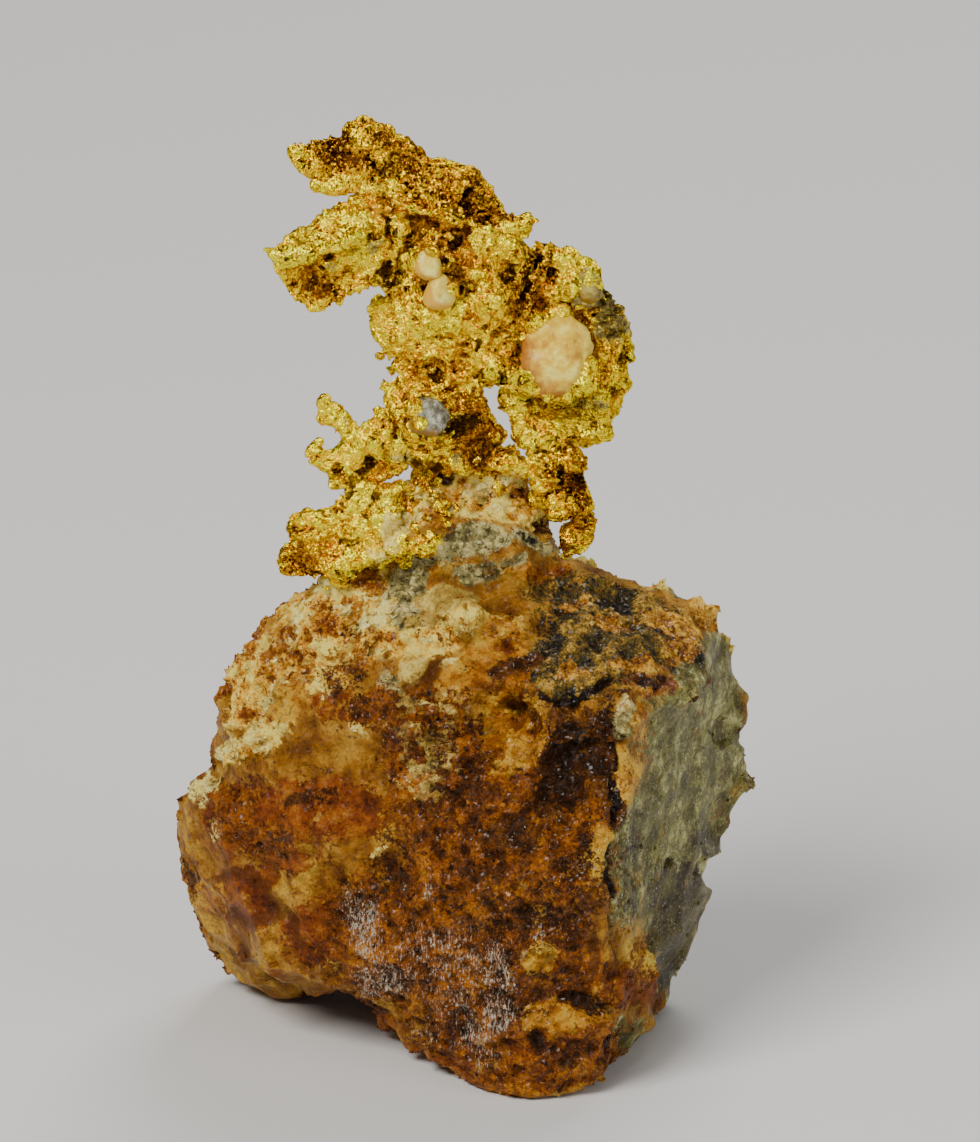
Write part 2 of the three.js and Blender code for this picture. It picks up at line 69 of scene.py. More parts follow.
def noise(points, size, seed):
    """Smooth noise from -1 to 1, with a bump about every `size` millimetres."""
    scaled = points / size
    cell = np.floor(scaled).astype(np.int64)
    t = (scaled - cell).astype(np.float32)
    t = t * t * (3 - 2 * t)
    total = np.zeros(len(points), np.float32)
    for dx, dy, dz in np.ndindex(2, 2, 2):
        weight = (t[:, 0] if dx else 1 - t[:, 0]) * (t[:, 1] if dy else 1 - t[:, 1])
        weight = weight * (t[:, 2] if dz else 1 - t[:, 2])
        total += weight * hashed(cell[:, 0] + dx, cell[:, 1] + dy, cell[:, 2] + dz, seed)
    return 2 * total - 1


def layered(points, size, seed, layers=3):
    """Noise with finer and weaker noise on top, from about -1 to 1."""
    return sum(noise(points, size / 2**n, seed + n) / 2**n for n in range(layers)) / 1.6


def scoops(points, size, seed, stretch=(1, 1, 1)):
    """Shallow hollows about `size` across with sharp ridges between them, mostly from -0.2 to 0.8."""
    scaled = (points / (size * np.array(stretch))).astype(np.float32)
    base = np.floor(scaled).astype(np.int64)
    lowest = np.full(len(points), 9, np.float32)
    for step in np.ndindex(3, 3, 3):
        cell = base + (np.array(step) - 1)
        gap = scaled - cell - np.stack([hashed(*cell.T, seed + axis) for axis in range(3)], 1)
        lean = 2 * np.stack([hashed(*cell.T, seed + 3 + axis) for axis in range(3)], 1) - 1
        lowest = np.minimum(lowest, (gap * gap).sum(1) + 0.9 * (gap * lean).sum(1))
    return lowest + 0.15


def smooth_step(value, low, high):
    """0 below low, 1 above high, smooth between. It falls instead when low is above high."""
    t = np.clip((value - low) / (high - low), 0, 1)
    return t * t * (3 - 2 * t)


# ---------------------------------------------------------------- places on the display plane
# An oval is across, up, half-width and half-height, in mm from the target, then its strength if that
# isn't 1, then its turn in degrees if it has one.
OVAL_SOFTNESS = 0.45  # how far an oval's edge fades to each side, as a share of the oval


def display_place(points, seed, stray=STRAY):
    """Across and up from the target, in mm, as the camera sees the points, moved by up to the stray."""
    offset = points - TARGET
    nearer = CAMERA_DISTANCE / (CAMERA_DISTANCE - offset @ TOWARD)
    across = offset @ ACROSS * nearer
    up = offset @ UPWARD * nearer
    return (across + stray * layered(points, 1.3, seed), up + stray * layered(points, 1.3, seed + 5))


def in_oval(place, x, y, half_width, half_height, turn=0):
    """How far inside one oval each place is, from 0 outside to 1 inside."""
    across, up = place
    c, s = math.cos(math.radians(turn)), math.sin(math.radians(turn))
    along = ((across - x) * c + (up - y) * s) / half_width
    beside = ((up - y) * c - (across - x) * s) / half_height
    return smooth_step(np.hypot(along, beside), 1 + OVAL_SOFTNESS, 1 - OVAL_SOFTNESS)


def in_ovals(place, ovals):
    """The strongest oval at each place. See OVAL_SOFTNESS for what an oval is."""
    weight = np.zeros(len(place[0]), np.float32)
    for x, y, half_width, half_height, *rest in ovals:
        strength = rest[0] if rest else 1.0
        weight = np.maximum(weight, strength * in_oval(place, x, y, half_width, half_height, *rest[1:]))
    return weight


def pushed(place, forms):
    """How far each place is pushed out, in mm, by hollows and rises. A form is an oval with a height."""
    return sum(height * in_oval(place, x, y, half_width, half_height, *turn)
               for x, y, half_width, half_height, height, *turn in forms)


def on_routes(place, routes, width):
    """How close each place is to routes of points, from 1 on the route to 0 at `width` from it."""
    spot = np.stack(place, 1)
    nearest = np.full(len(spot), 1e3)
    for route in routes:
        for start, end in zip(np.array(route[:-1]), np.array(route[1:])):
            run = end - start
            share = np.clip((spot - start) @ run / (run @ run), 0, 1)
            nearest = np.minimum(nearest, np.linalg.norm(spot - start - share[:, None] * run, axis=1))
    return smooth_step(nearest, width, 0.25 * width)


# ---------------------------------------------------------------- meshes as arrays
def points_of(mesh):
    flat = np.empty(len(mesh.vertices) * 3, np.float32)
    mesh.vertices.foreach_get("co", flat)
    return flat.reshape(-1, 3)


def solid_of(node):
    """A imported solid's points, in millimetres, each kept once, and its triangles."""
    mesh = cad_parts[node].data
    mesh.calc_loop_triangles()
    faces = np.empty(len(mesh.loop_triangles) * 3, np.int32)
    mesh.loop_triangles.foreach_get("vertices", faces)
    points = points_of(mesh) / MM
    _, first, same = np.unique(np.round(points, 3), axis=0, return_index=True, return_inverse=True)
    return points[first], same.ravel()[faces].reshape(-1, 3)


def mesh_from(name, points, faces):
    """A Blender mesh of faces that all have the same number of corners."""
    sides = faces.shape[1]
    mesh = bpy.data.meshes.new(name)
    mesh.vertices.add(len(points))
    mesh.vertices.foreach_set("co", np.ascontiguousarray(points, np.float32).ravel())
    mesh.loops.add(faces.size)
    mesh.loops.foreach_set("vertex_index", np.ascontiguousarray(faces, np.int32).ravel())
    mesh.polygons.add(len(faces))
    mesh.polygons.foreach_set("loop_start", np.arange(0, faces.size, sides, dtype=np.int32))
    mesh.update(calc_edges=True)
    return mesh


def joined(bodies):
    """Several bodies as one list of points and one list of triangles."""
    points, faces, count = [], [], 0
    for body_points, body_faces in bodies:
        points.append(body_points)
        faces.append(body_faces + count)
        count += len(body_points)
    return np.concatenate(points), np.concatenate(faces)


def evaluated(mesh, change):
    """The points and faces of a mesh after the modifier that change() adds to its object."""
    obj = bpy.data.objects.new("scratch", mesh)
    bpy.context.scene.collection.objects.link(obj)
    change(obj)
    result = obj.evaluated_get(bpy.context.evaluated_depsgraph_get()).to_mesh()
    points = points_of(result)
    corners = np.empty(len(result.loops), np.int32)
    result.loops.foreach_get("vertex_index", corners)
    faces = corners.reshape(-1, len(result.polygons[0].vertices))
    bpy.data.objects.remove(obj)
    bpy.data.meshes.remove(mesh)
    return points, faces


def skinned(points, faces, voxel):
    """One closed skin of small squares round all the bodies."""
    def remesh(obj):
        modifier = obj.modifiers.new("skin", "REMESH")
        modifier.mode = "VOXEL"
        modifier.voxel_size = voxel

    return evaluated(mesh_from("scratch", points, faces), remesh)


def thinned(points, faces, triangles):
    """The same skin with at most this many triangles, kept dense where it bends."""
    faces = halved(faces)
    if len(faces) <= triangles:
        return points, faces

    def decimate(obj):
        modifier = obj.modifiers.new("thin", "DECIMATE")
        modifier.ratio = triangles / len(faces)
        modifier.use_collapse_triangulate = True

    return evaluated(mesh_from("scratch", points, faces), decimate)


def without_specks(points, faces, smallest):
    """The skin without the loose parts that have fewer points than this."""
    label = np.arange(len(points))
    while True:
        lowest = label.copy()
        for corner in faces.T:
            np.minimum.at(lowest, corner, label[faces].min(1))
        lowest = lowest[lowest]
        if np.array_equal(lowest, label):
            break
        label = lowest
    kept = faces[np.bincount(label, minlength=len(points))[label[faces[:, 0]]] >= smallest]
    used, corners = np.unique(kept, return_inverse=True)
    return points[used], corners.reshape(-1, faces.shape[1])


def halved(quads):
    """Each square as two triangles."""
    return np.concatenate([quads[:, [0, 1, 2]], quads[:, [0, 2, 3]]])


def normals_of(points, faces):
    """Outward unit normals at the points."""
    a, b, c = (points[faces[:, n]] for n in range(3))
    across = np.cross(b - a, c - a)
    if faces.shape[1] == 4:
        across = across + np.cross(c - a, points[faces[:, 3]] - a)
    total = np.zeros_like(points)
    for n in range(faces.shape[1]):
        for axis in range(3):
            total[:, axis] += np.bincount(faces[:, n], across[:, axis], len(points))
    return total / np.maximum(np.linalg.norm(total, axis=1, keepdims=True), 1e-12)


def relaxed(points, faces, rounds):
    """The points after each has moved to the middle of its neighbours, several times."""
    starts = faces.ravel()
    ends = np.roll(faces, -1, axis=1).ravel()
    count = np.maximum(np.bincount(starts, minlength=len(points)), 1)[:, None]
    for _ in range(rounds):
        total = np.stack([np.bincount(starts, points[ends, axis], len(points)) for axis in range(3)], 1)
        points = (total / count).astype(np.float32)
    return points


def relief(points, faces, rounds):
    """How far each point stands out of its surroundings, in millimetres. Pits are below zero."""
    return ((points - relaxed(points, faces, rounds)) * normals_of(points, faces)).sum(1)


def scattered(points, faces, per_mm2, random):
    """Spots spread evenly over a surface, the outward normal at each, and the triangle that holds it."""
    a, b, c = (points[faces[:, n]] for n in range(3))
    across = np.cross(b - a, c - a)
    area = np.linalg.norm(across, axis=1) / 2
    count = int(area.sum() * per_mm2)
    chosen = random.choice(len(faces), count, p=area / area.sum())
    u, v = random.random((2, count, 1))
    u, v = np.where(u + v > 1, 1 - u, u), np.where(u + v > 1, 1 - v, v)
    spots = a[chosen] + u * (b - a)[chosen] + v * (c - a)[chosen]
    return spots, across[chosen] / (2 * area[chosen, None] + 1e-12), chosen


def turned(count, random):
    """Rotation matrices that point every way."""
    q = random.normal(size=(count, 4))
    w, x, y, z = (q / np.linalg.norm(q, axis=1, keepdims=True)).T
    return np.stack([
        np.stack([1 - 2 * (y * y + z * z), 2 * (x * y - z * w), 2 * (x * z + y * w)], 1),
        np.stack([2 * (x * y + z * w), 1 - 2 * (x * x + z * z), 2 * (y * z - x * w)], 1),
        np.stack([2 * (x * z - y * w), 2 * (y * z + x * w), 1 - 2 * (x * x + y * y)], 1),
    ], 1)


OCTAHEDRON = (
    np.array([[1, 0, 0], [-1, 0, 0], [0, 1, 0], [0, -1, 0], [0, 0, 1], [0, 0, -1]], np.float32),
    np.array([[0, 2, 4], [2, 1, 4], [1, 3, 4], [3, 0, 4], [2, 0, 5], [1, 2, 5], [3, 1, 5], [0, 3, 5]]),
)


def crystals(spots, sizes, random):
    """An octahedral crystal at each spot. sizes gives each one's half-widths along its own three axes."""
    shape, sides = OCTAHEDRON
    local = shape[None] * sizes[:, None, :]
    points = np.einsum("nij,nkj->nki", turned(len(spots), random), local) + spots[:, None, :]
    faces = sides[None] + 6 * np.arange(len(spots))[:, None, None]
    return points.reshape(-1, 3).astype(np.float32), faces.reshape(-1, 3).astype(np.int32)


def add_piece(name, points, faces, material, node, values, smooth=0.0):
    """Makes the piece in metres, with values at its points for the material, and rides it on the body."""
    mesh = mesh_from(name, points * MM, faces)
    for key, value in values.items():
        attribute = mesh.attributes.new(key, "FLOAT", "POINT")
        attribute.data.foreach_set("value", np.ascontiguousarray(value, np.float32))
    mesh.polygons.foreach_set("use_smooth", np.broadcast_to(smooth, len(faces)) > 0.5)
    mesh.materials.append(material)
    obj = bpy.data.objects.new(name, mesh)
    bpy.context.scene.collection.objects.link(obj)
    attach(obj, "root")
    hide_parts(node)


# ---------------------------------------------------------------- materials
class Look:
    """A short way to write a node material. Sizes are in millimetres."""

    def __init__(self, name):
        self.material = bpy.data.materials.new(name)
        self.material.use_nodes = True
        self.tree = self.material.node_tree
        self.tree.nodes.clear()
        place = self.add("ShaderNodeTexCoord")
        self.place = self.vector("SCALE", place.outputs["Object"], scale=1 / MM)

    def add(self, kind, settings=None, inputs=()):
        node = self.tree.nodes.new(kind)
        for key, value in (settings or {}).items():
            setattr(node, key, value)
        for socket, value in zip(node.inputs, inputs):
            self.give(socket, value)
        return node

    def give(self, socket, value):
        if isinstance(value, bpy.types.NodeSocket):
            self.tree.links.new(value, socket)
        elif isinstance(value, tuple) and len(value) == 3 and socket.type == "RGBA":
            socket.default_value = (*value, 1)
        elif value is not None:
            socket.default_value = value

    def math(self, operation, *inputs):
        return self.add("ShaderNodeMath", {"operation": operation}, inputs).outputs[0]

    def plus(self, base, pattern, share=1.0):
        """The base with a share of the pattern on top."""
        return self.math("MULTIPLY_ADD", pattern, share, base)

    def vector(self, operation, *inputs, scale=None):
        """A sum, a difference or the like of two vectors, or one that is made longer by the scale."""
        node = self.add("ShaderNodeVectorMath", {"operation": operation}, inputs)
        if scale is not None:
            node.inputs["Scale"].default_value = scale
        return node.outputs[0]

    def value(self, name):
        """A value that the mesh holds at its points."""
        return self.add("ShaderNodeAttribute", {"attribute_name": name}).outputs["Fac"]

    def noise(self, size, detail=3.0, rough=0.55, shift=0.0, stretch=(1, 1, 1)):
        """Fractal noise round 0.5. The shift picks another part of it, the stretch draws it out."""
        place = self.add("ShaderNodeMapping", inputs=[self.place])
        place.inputs["Location"].default_value = (shift, shift, shift)
        place.inputs["Scale"].default_value = tuple(1 / s for s in stretch)
        node = self.add("ShaderNodeTexNoise")
        self.give(node.inputs["Vector"], place.outputs[0])
        for key, value in {"Scale": 1 / size, "Detail": detail, "Roughness": rough}.items():
            node.inputs[key].default_value = value
        return node.outputs[0]

    def cells(self, size, place=None):
        """What is known of the cell of the given size round each place: its colour and its distance."""
        node = self.add("ShaderNodeTexVoronoi")
        self.give(node.inputs["Vector"], self.place if place is None else place)
        node.inputs["Scale"].default_value = 1 / size
        return node.outputs

    def flakes(self, size, strength, shift=0.0):
        """A different number in each ragged cell of the given size, from -strength to strength."""
        wander = self.add("ShaderNodeTexNoise", {"noise_dimensions": "3D"})
        self.give(wander.inputs["Vector"], self.place)
        wander.inputs["Scale"].default_value = 2.2 / size
        wander.inputs["Detail"].default_value = 4.0
        drift = self.vector("SCALE", wander.outputs["Color"], scale=1.1 * size)
        place = self.vector("ADD", self.vector("ADD", self.place, drift), (shift, shift, shift))
        level = self.add("ShaderNodeSeparateColor", inputs=[self.cells(size, place)["Color"]]).outputs[0]
        return self.plus(-strength, level, 2 * strength)

    def tilted(self, size, strength):
        """The surface's normal, tilted a different way in each cell of the given size."""
        tilt = self.vector("SUBTRACT", self.cells(size)["Color"], (0.5, 0.5, 0.5))
        tilt = self.vector("SCALE", tilt, scale=strength)
        normal = self.add("ShaderNodeNewGeometry").outputs["Normal"]
        return self.vector("NORMALIZE", self.vector("ADD", normal, tilt))

    def step(self, value, low, high, bottom=0.0, top=1.0):
        """Bottom below low, top above high."""
        smooth = {"interpolation_type": "SMOOTHSTEP"}
        return self.add("ShaderNodeMapRange", smooth, [value, low, high, bottom, top]).outputs[0]

    def mix(self, factor, a, b):
        node = self.add("ShaderNodeMix", {"data_type": "RGBA"})
        for index, value in ((0, factor), (6, a), (7, b)):
            self.give(node.inputs[index], value)
        return node.outputs[2]

    def ramp(self, pattern, stops):
        """Colours in turn as the pattern rises. Each stop is a place on the way and its colour."""
        node = self.add("ShaderNodeValToRGB", inputs=[pattern])
        elements = node.color_ramp.elements
        for index, (position, color) in enumerate(stops):
            element = elements[index] if index < 2 else elements.new(position)
            element.position = position
            element.color = (*color, 1)
        return node.outputs[0]

    def bump(self, height, distance, before=None):
        """A bump of the given depth in millimetres."""
        node = self.add("ShaderNodeBump")
        node.inputs["Distance"].default_value = distance * MM
        self.give(node.inputs["Height"], height)
        self.give(node.inputs["Normal"], before)
        return node.outputs[0]

    def finish(self, color, rough, normal, metal=None, links=None, **constants):
        """The shader. Nodes feed its links, and constants are numbers set on the shader itself."""
        shader = self.add("ShaderNodeBsdfPrincipled")
        given = {"Base Color": color, "Roughness": rough, "Normal": normal, "Metallic": metal}
        for key, value in {**given, **(links or {})}.items():
            self.give(shader.inputs[key], value)
        for key, value in constants.items():
            shader.inputs[key.replace("_", " ")].default_value = value
        output = self.add("ShaderNodeOutputMaterial")
        self.tree.links.new(shader.outputs[0], output.inputs[0])
        return self.material


# ---------------------------------------------------------------- quartz matrix
SLOT_CLOSING = 0.5  # mm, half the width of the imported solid's slots that the skin closes
COARSE_SKIN = 0.3  # mm across the squares of the skin that closes them
MATRIX_SKIN = 0.155  # mm across the squares of the last skin
MATRIX_SHRINK = 0.22  # mm, which makes up for what the breaks add on average
CRUMBS_PER_MM2 = 6.5
CRUMBLY_EXTRA = 0.8  # how much larger the crumbs are in the crumbly zones
CRUMB_SIZES = (0.07, 0.2)  # mm, the smallest and largest half-width
CRUMB_DEPTH = 0.08  # mm that a crumb is sunk, at most
GLASSY_BARE = 0.96  # share of the crumbs left out where the quartz is glassy
CRUMB_SEED = 50

# Zones on the display plane, as ovals.
MATRIX_ZONES = {
    "beige": [
        (-15.6, -13.8, 0.9, 1.9, 0.6), (-14.5, -17.7, 1.0, 1.4, 1.0, 15),
        (-12.9, -20.4, 1.9, 0.9, 1.0, -35), (-11.2, -19.1, 1.3, 1.0, 1.0, -20),
        (-9.9, -15.9, 1.5, 1.2, 0.7), (-12.9, -6.5, 1.0, 0.7), (-13.3, -8.4, 0.7, 0.6, 0.9),
        (-13.7, -10.0, 1.2, 0.4, 0.7, 20), (7.8, -19.6, 1.2, 1.4), (-5.4, -13.6, 0.9, 1.1, 0.8),
        (-8.4, -20.6, 1.2, 0.8, 0.6),
    ],
    "band": [
        (-9.3, -12.4, 4.7, 1.6), (-12.8, -13.0, 1.8, 2.2, 0.9), (-13.3, -16.3, 2.4, 0.9, 0.8, 10),
        (-12.6, -17.6, 1.7, 1.1, 0.8), (-8.6, -18.6, 2.0, 1.8, 0.9), (-7.2, -7.0, 2.4, 0.9, 0.7),
        (1.7, -8.2, 1.0, 1.8, 0.5), (8.0, -5.8, 1.9, 0.6, 0.9, -5), (7.0, -21.6, 2.0, 1.3, 0.8),
        (3.0, -24.2, 2.8, 2.0, 0.9), (-2.0, -26.0, 2.5, 0.8, 0.8, -15), (-10.6, -14.9, 1.8, 0.7, 0.9),
    ],
    "rust": [
        (0.6, -13.4, 5.8, 6.2), (-1.8, -19.4, 6.8, 4.6, 1.0, -15), (1.8, -20.5, 4.6, 4.6, 0.9),
        (-3.6, -9.6, 2.0, 3.6), (-6.0, -7.2, 1.9, 0.8, 0.9), (-4.6, -7.8, 1.2, 1.6, 0.9),
        (-13.2, -12.8, 1.1, 1.6, 0.8), (-11.4, -14.0, 2.0, 0.9, 0.8), (1.0, -5.8, 1.8, 0.6, 0.8),
        (-1.5, -24.0, 2.6, 2.0, 0.9, -20), (4.4, -24.6, 2.6, 1.8, 0.9, 10),
        (-2.2, -6.6, 1.6, 0.8, 0.7), (-6.9, -3.2, 0.9, 0.5, 0.5), (-7.4, -5.2, 1.4, 1.0, 0.5, 20),
        (2.2, -26.2, 3.6, 1.2, 0.9, 5),
    ],
    "amber": [
        (0.9, -8.4, 1.5, 2.0, 1.3), (-0.3, -4.2, 1.3, 0.8), (-1.5, -5.4, 1.5, 0.9, 0.8),
        (0.2, -3.2, 1.8, 0.8, 0.8), (2.7, -20.2, 0.9, 0.8, 0.9), (5.6, -14.4, 0.6, 1.2),
        (-10.6, -6.8, 1.4, 0.8, 0.9, 20), (-11.0, -3.8, 1.3, 0.7, 0.7, 40),
        (-14.7, -16.7, 0.9, 1.0, 0.9), (-10.7, -20.4, 0.9, 0.5, 0.9, 10),
        (7.8, -7.6, 0.5, 1.3, 1.0, -12), (7.4, -10.2, 0.8, 1.1), (7.0, -11.5, 0.6, 0.8),
        (3.2, -23.2, 1.6, 1.0, 0.7), (-2.6, 0.1, 0.8, 0.5, 0.9, 10),
    ],
    "cream": [
        (-8.3, -2.0, 2.9, 2.2), (-10.9, -4.4, 3.2, 1.6, 1.0, 22), (-5.8, -3.4, 2.6, 1.6, 0.7),
        (-3.2, -3.3, 2.0, 1.0, 0.75), (-8.6, -5.4, 1.6, 1.1, 0.9), (-0.6, -2.6, 2.4, 0.7, 0.6),
        (-0.3, 4.1, 2.2, 1.5), (1.6, 3.4, 1.5, 1.2, 1.2), (-4.4, 3.2, 1.5, 1.5, 0.9, 30),
        (0.3, 4.0, 2.4, 1.3, 1.3), (-6.8, -0.2, 1.6, 1.1, 0.9), (-12.0, -7.4, 1.6, 1.6, 0.8),
        (7.6, -20.4, 0.9, 1.4, 0.6), (9.2, -2.7, 1.5, 0.8, 0.8, -20), (-12.8, -9.4, 1.2, 0.5, 0.8, 25),
    ],
    "white": [
        (-12.3, -8.9, 0.6, 0.5, 0.8, 40), (-14.8, -11.3, 0.8, 1.0, 0.7), (-8.6, -0.9, 0.9, 0.6, 0.6),
        (-7.0, -7.9, 0.5, 0.4, 0.8), (-2.1, -4.6, 0.35, 0.25), (-14.3, -13.5, 0.25, 0.7, 0.9),
        (-5.7, -14.7, 0.6, 0.35, 0.7), (-6.8, 0.2, 1.0, 0.4, 0.7, 40), (-4.4, 2.2, 1.2, 0.5, 0.8, 35),
        (1.0, 4.6, 0.9, 0.4, 0.9), (-0.7, 4.2, 0.8, 0.4, 0.9), (0.6, 3.2, 0.8, 0.3, 0.8),
        (-13.4, -9.2, 1.0, 0.4, 0.7, 30), (-13.3, -7.6, 0.4, 0.7, 0.5), (-10.4, -3.9, 0.4, 0.3, 0.8),
        (-9.6, -4.9, 0.5, 0.25, 0.7), (-5.9, -4.2, 0.5, 0.25, 0.8, 30), (-6.2, -1.4, 0.3, 0.4, 0.7),
        (-3.2, -3.4, 0.5, 0.2, 0.7), (-1.2, -2.8, 0.4, 0.2, 0.7), (-9.0, -6.4, 0.4, 0.2, 0.6),
        (9.5, -3.2, 0.7, 0.6, 0.7), (-7.6, -2.0, 0.6, 0.4, 0.6),
    ],
    "orange": [
        (-8.6, -2.6, 0.8, 1.1, 0.95, 15), (-12.5, -3.9, 1.2, 0.5, 0.95, 45),
        (-7.2, -1.7, 1.0, 0.45, 0.8), (-6.4, -0.4, 0.9, 0.7, 0.9), (-6.9, -2.4, 0.8, 0.4, 0.8),
        (2.4, -0.2, 1.7, 0.5, 1.0, -10), (1.0, -3.9, 1.3, 0.6, 0.9, -25), (-12.6, -7.4, 0.5, 0.3, 0.8),
        (-4.8, 1.1, 1.3, 0.35, 0.8, 10), (11.4, -2.0, 1.4, 0.6, 1.0, -35),
        (1.2, 4.3, 1.2, 0.7, 0.7, -15), (2.4, 4.2, 0.5, 0.6, 0.9), (-2.3, 2.4, 0.6, 0.5, 0.8),
        (1.8, -9.7, 0.8, 0.7, 0.6), (-8.0, -7.4, 0.6, 0.35, 0.7),
    ],
    "clay": [
        (-4.4, -1.0, 1.0, 1.9, 1.0, -15), (-3.4, 0.6, 1.8, 0.8, 0.9, 25), (-0.6, 1.7, 1.7, 0.9),
        (-0.8, 0.0, 1.2, 0.6, 0.9), (2.2, 1.5, 1.6, 0.4, 0.9, -25), (-5.3, -5.9, 0.6, 0.9, 0.7),
        (7.0, -7.9, 0.7, 1.1, 0.9), (-2.3, 3.2, 0.4, 0.4, 0.8), (0.6, 0.4, 1.6, 0.4, 0.7, 15),
        (-7.2, 0.4, 0.5, 0.7, 0.6, -30),
    ],
    "flake": [
        (-2.2, -1.4, 1.7, 0.6, 1.2, 3), (-3.9, -5.1, 0.9, 0.5, 1.2, 40), (-3.6, -2.4, 0.8, 0.35, 0.8),
        (-3.2, -8.6, 1.9, 2.8, 0.45), (9.4, -3.0, 1.4, 0.7, 0.6, -15),
    ],
    "crust": [
        (5.6, -3.5, 3.3, 2.8), (8.4, -3.1, 2.6, 1.7, 0.9, -15), (3.3, -4.8, 1.2, 1.9),
        (3.2, -1.1, 1.9, 0.8, 0.7), (10.2, -4.2, 1.0, 0.9, 0.9), (4.6, -6.2, 1.7, 0.5, 1.0, 12),
        (6.6, -1.4, 2.4, 0.7, 0.9, -8),
    ],
    "ochre": [
        (6.2, -2.9, 1.1, 0.5), (9.9, -4.2, 0.9, 0.7), (9.3, -2.7, 1.6, 0.7, 1.0, -15),
        (4.2, -5.6, 0.9, 0.35, 0.9, 10), (7.6, -5.0, 1.3, 0.4, 0.9, -5),
        (11.2, -1.9, 1.2, 0.5, 0.9, -35), (7.9, -6.3, 0.5, 0.7, 0.9), (7.6, -10.0, 0.5, 0.9, 0.9),
        (4.6, -1.9, 0.9, 0.4, 0.8), (7.9, -8.2, 0.4, 0.8, 0.8, -12), (6.9, -11.4, 0.4, 0.6, 0.8),
    ],
    "slab": [
        (11.4, -5.6, 2.0, 2.8), (10.8, -9.6, 3.0, 4.4), (9.6, -13.8, 3.6, 3.6, 1.0, -20),
        (9.6, -17.2, 2.4, 2.2), (9.6, -20.0, 1.2, 2.0), (7.1, -23.5, 0.7, 0.5, 0.8),
        (7.3, -24.5, 0.8, 0.6, 0.7), (7.0, -16.4, 0.8, 2.4),
    ],
    "olive": [
        (7.3, -13.8, 0.9, 1.7, 0.6), (7.2, -16.8, 0.7, 1.4, 0.6), (11.6, -14.1, 0.9, 0.8, 0.8),
        (9.8, -17.2, 1.7, 2.2), (9.5, -19.8, 1.2, 2.0, 1.2),
    ],
    # The first four ovals, round (4.2, -8.8) to (6.3, -12.4), fill the deep hollow beside the fissure,
    # where the brown is partly the rock's own and partly painted shade.
    "brown": [
        (4.2, -8.8, 1.8, 2.2), (5.8, -9.4, 0.9, 2.6), (3.6, -11.0, 1.5, 2.4, 0.75, 10),
        (6.3, -12.4, 0.5, 1.6), (1.2, -13.6, 1.6, 1.1, 0.8), (1.6, -18.2, 1.7, 1.1, 0.7),
        (1.4, -5.1, 1.4, 0.4, 0.9, 15), (4.7, -22.5, 1.1, 0.45), (8.4, -5.7, 0.7, 0.4, 0.9),
        (6.8, -6.5, 0.5, 0.3, 0.8), (-9.2, -11.8, 1.8, 0.45, 0.6), (-15.6, -15.8, 0.5, 2.0, 0.45),
        (0.4, -21.8, 2.4, 1.6, 0.42, -20), (-3.0, -9.2, 1.2, 1.4, 0.5), (5.0, -16.2, 1.0, 2.2, 0.65),
        (1.0, -17.6, 4.2, 2.2, 0.5, -5), (3.0, 2.6, 0.6, 0.5, 0.8), (-2.3, 4.8, 0.4, 0.5, 0.7),
    ],
    # Near-black. The thin oval along the crust's undercut edge, at (5.0, -6.3), is a painted shadow, and
    # the two ovals in the deep hollow round (4.9, -9.4) are painted shade.
    "black": [
        (4.6, -8.6, 0.5, 1.0, 0.6, 10), (5.4, -10.3, 0.4, 0.8, 0.5, -10), (3.1, -4.0, 0.7, 1.5, 0.7),
        (5.0, -6.3, 1.2, 0.2, 0.9, 12), (6.3, -1.9, 1.0, 0.5, 0.6), (8.5, -3.4, 0.25, 0.3, 0.9),
        (-1.9, 0.6, 0.7, 0.5, 0.5), (1.8, 1.7, 0.5, 0.25, 0.7, -20), (11.6, -8.6, 0.15, 0.5, 0.7, 10),
    ],
    "needles": [
        (-6.5, -18.3, 0.9, 2.1, 1.0, 28), (-3.0, -19.2, 2.4, 1.0, 0.75), (-5.6, -20.9, 1.2, 1.6, 0.9),
        (-1.5, -20.4, 1.6, 1.1, 0.75), (0.4, -20.8, 0.9, 1.6, 0.9), (0.5, -23.0, 0.9, 1.4),
        (-0.8, -24.2, 1.3, 1.0, 0.95), (-2.2, -22.6, 1.9, 1.4, 0.65), (-0.2, -25.3, 0.8, 0.7, 0.75),
        (2.0, -20.0, 0.3, 0.25), (2.7, -19.2, 0.5, 0.2, 0.9, 25), (-3.05, -16.6, 0.25, 0.8),
        (-3.6, -24.0, 1.2, 0.8, 0.5, -20), (-3.5, -21.0, 3.4, 2.4, 0.5, -20),
        (-0.8, -22.6, 2.0, 2.8, 0.55),
    ],
}

# White crusts that run along edges, on the display plane.
WHITE_STREAKS = [
    [(-15.0, -10.6), (-13.9, -9.5), (-12.4, -8.8), (-12.2, -7.9)],
    [(-11.7, -7.5), (-11.6, -6.8), (-10.9, -6.1), (-9.6, -5.7)],
    [(-9.9, -3.2), (-9.6, -1.9), (-8.8, -0.8), (-7.4, -0.5)],
    [(-6.6, -3.0), (-5.4, -2.6), (-4.9, -1.8)],
    [(8.6, -2.6), (9.4, -3.1), (10.0, -2.7)],
]
STREAK_WIDTH = 0.4  # mm

# Rusty cracks on the display plane.
MATRIX_VEINS = [
    [(-14.3, -16.1), (-13.2, -15.6), (-12.3, -15.9), (-11.2, -17.0), (-10.2, -18.0), (-9.6, -19.0)],
    [(-13.5, -17.7), (-12.7, -18.4), (-12.4, -19.5), (-11.8, -20.3), (-11.0, -21.0)],
    [(-12.7, -18.4), (-11.6, -18.0), (-10.6, -17.8)],
    [(-3.0, -4.8), (-3.4, -5.7), (-4.2, -6.1)],
    [(5.3, -19.0), (5.4, -20.2), (5.2, -21.3), (5.0, -22.0)],
]
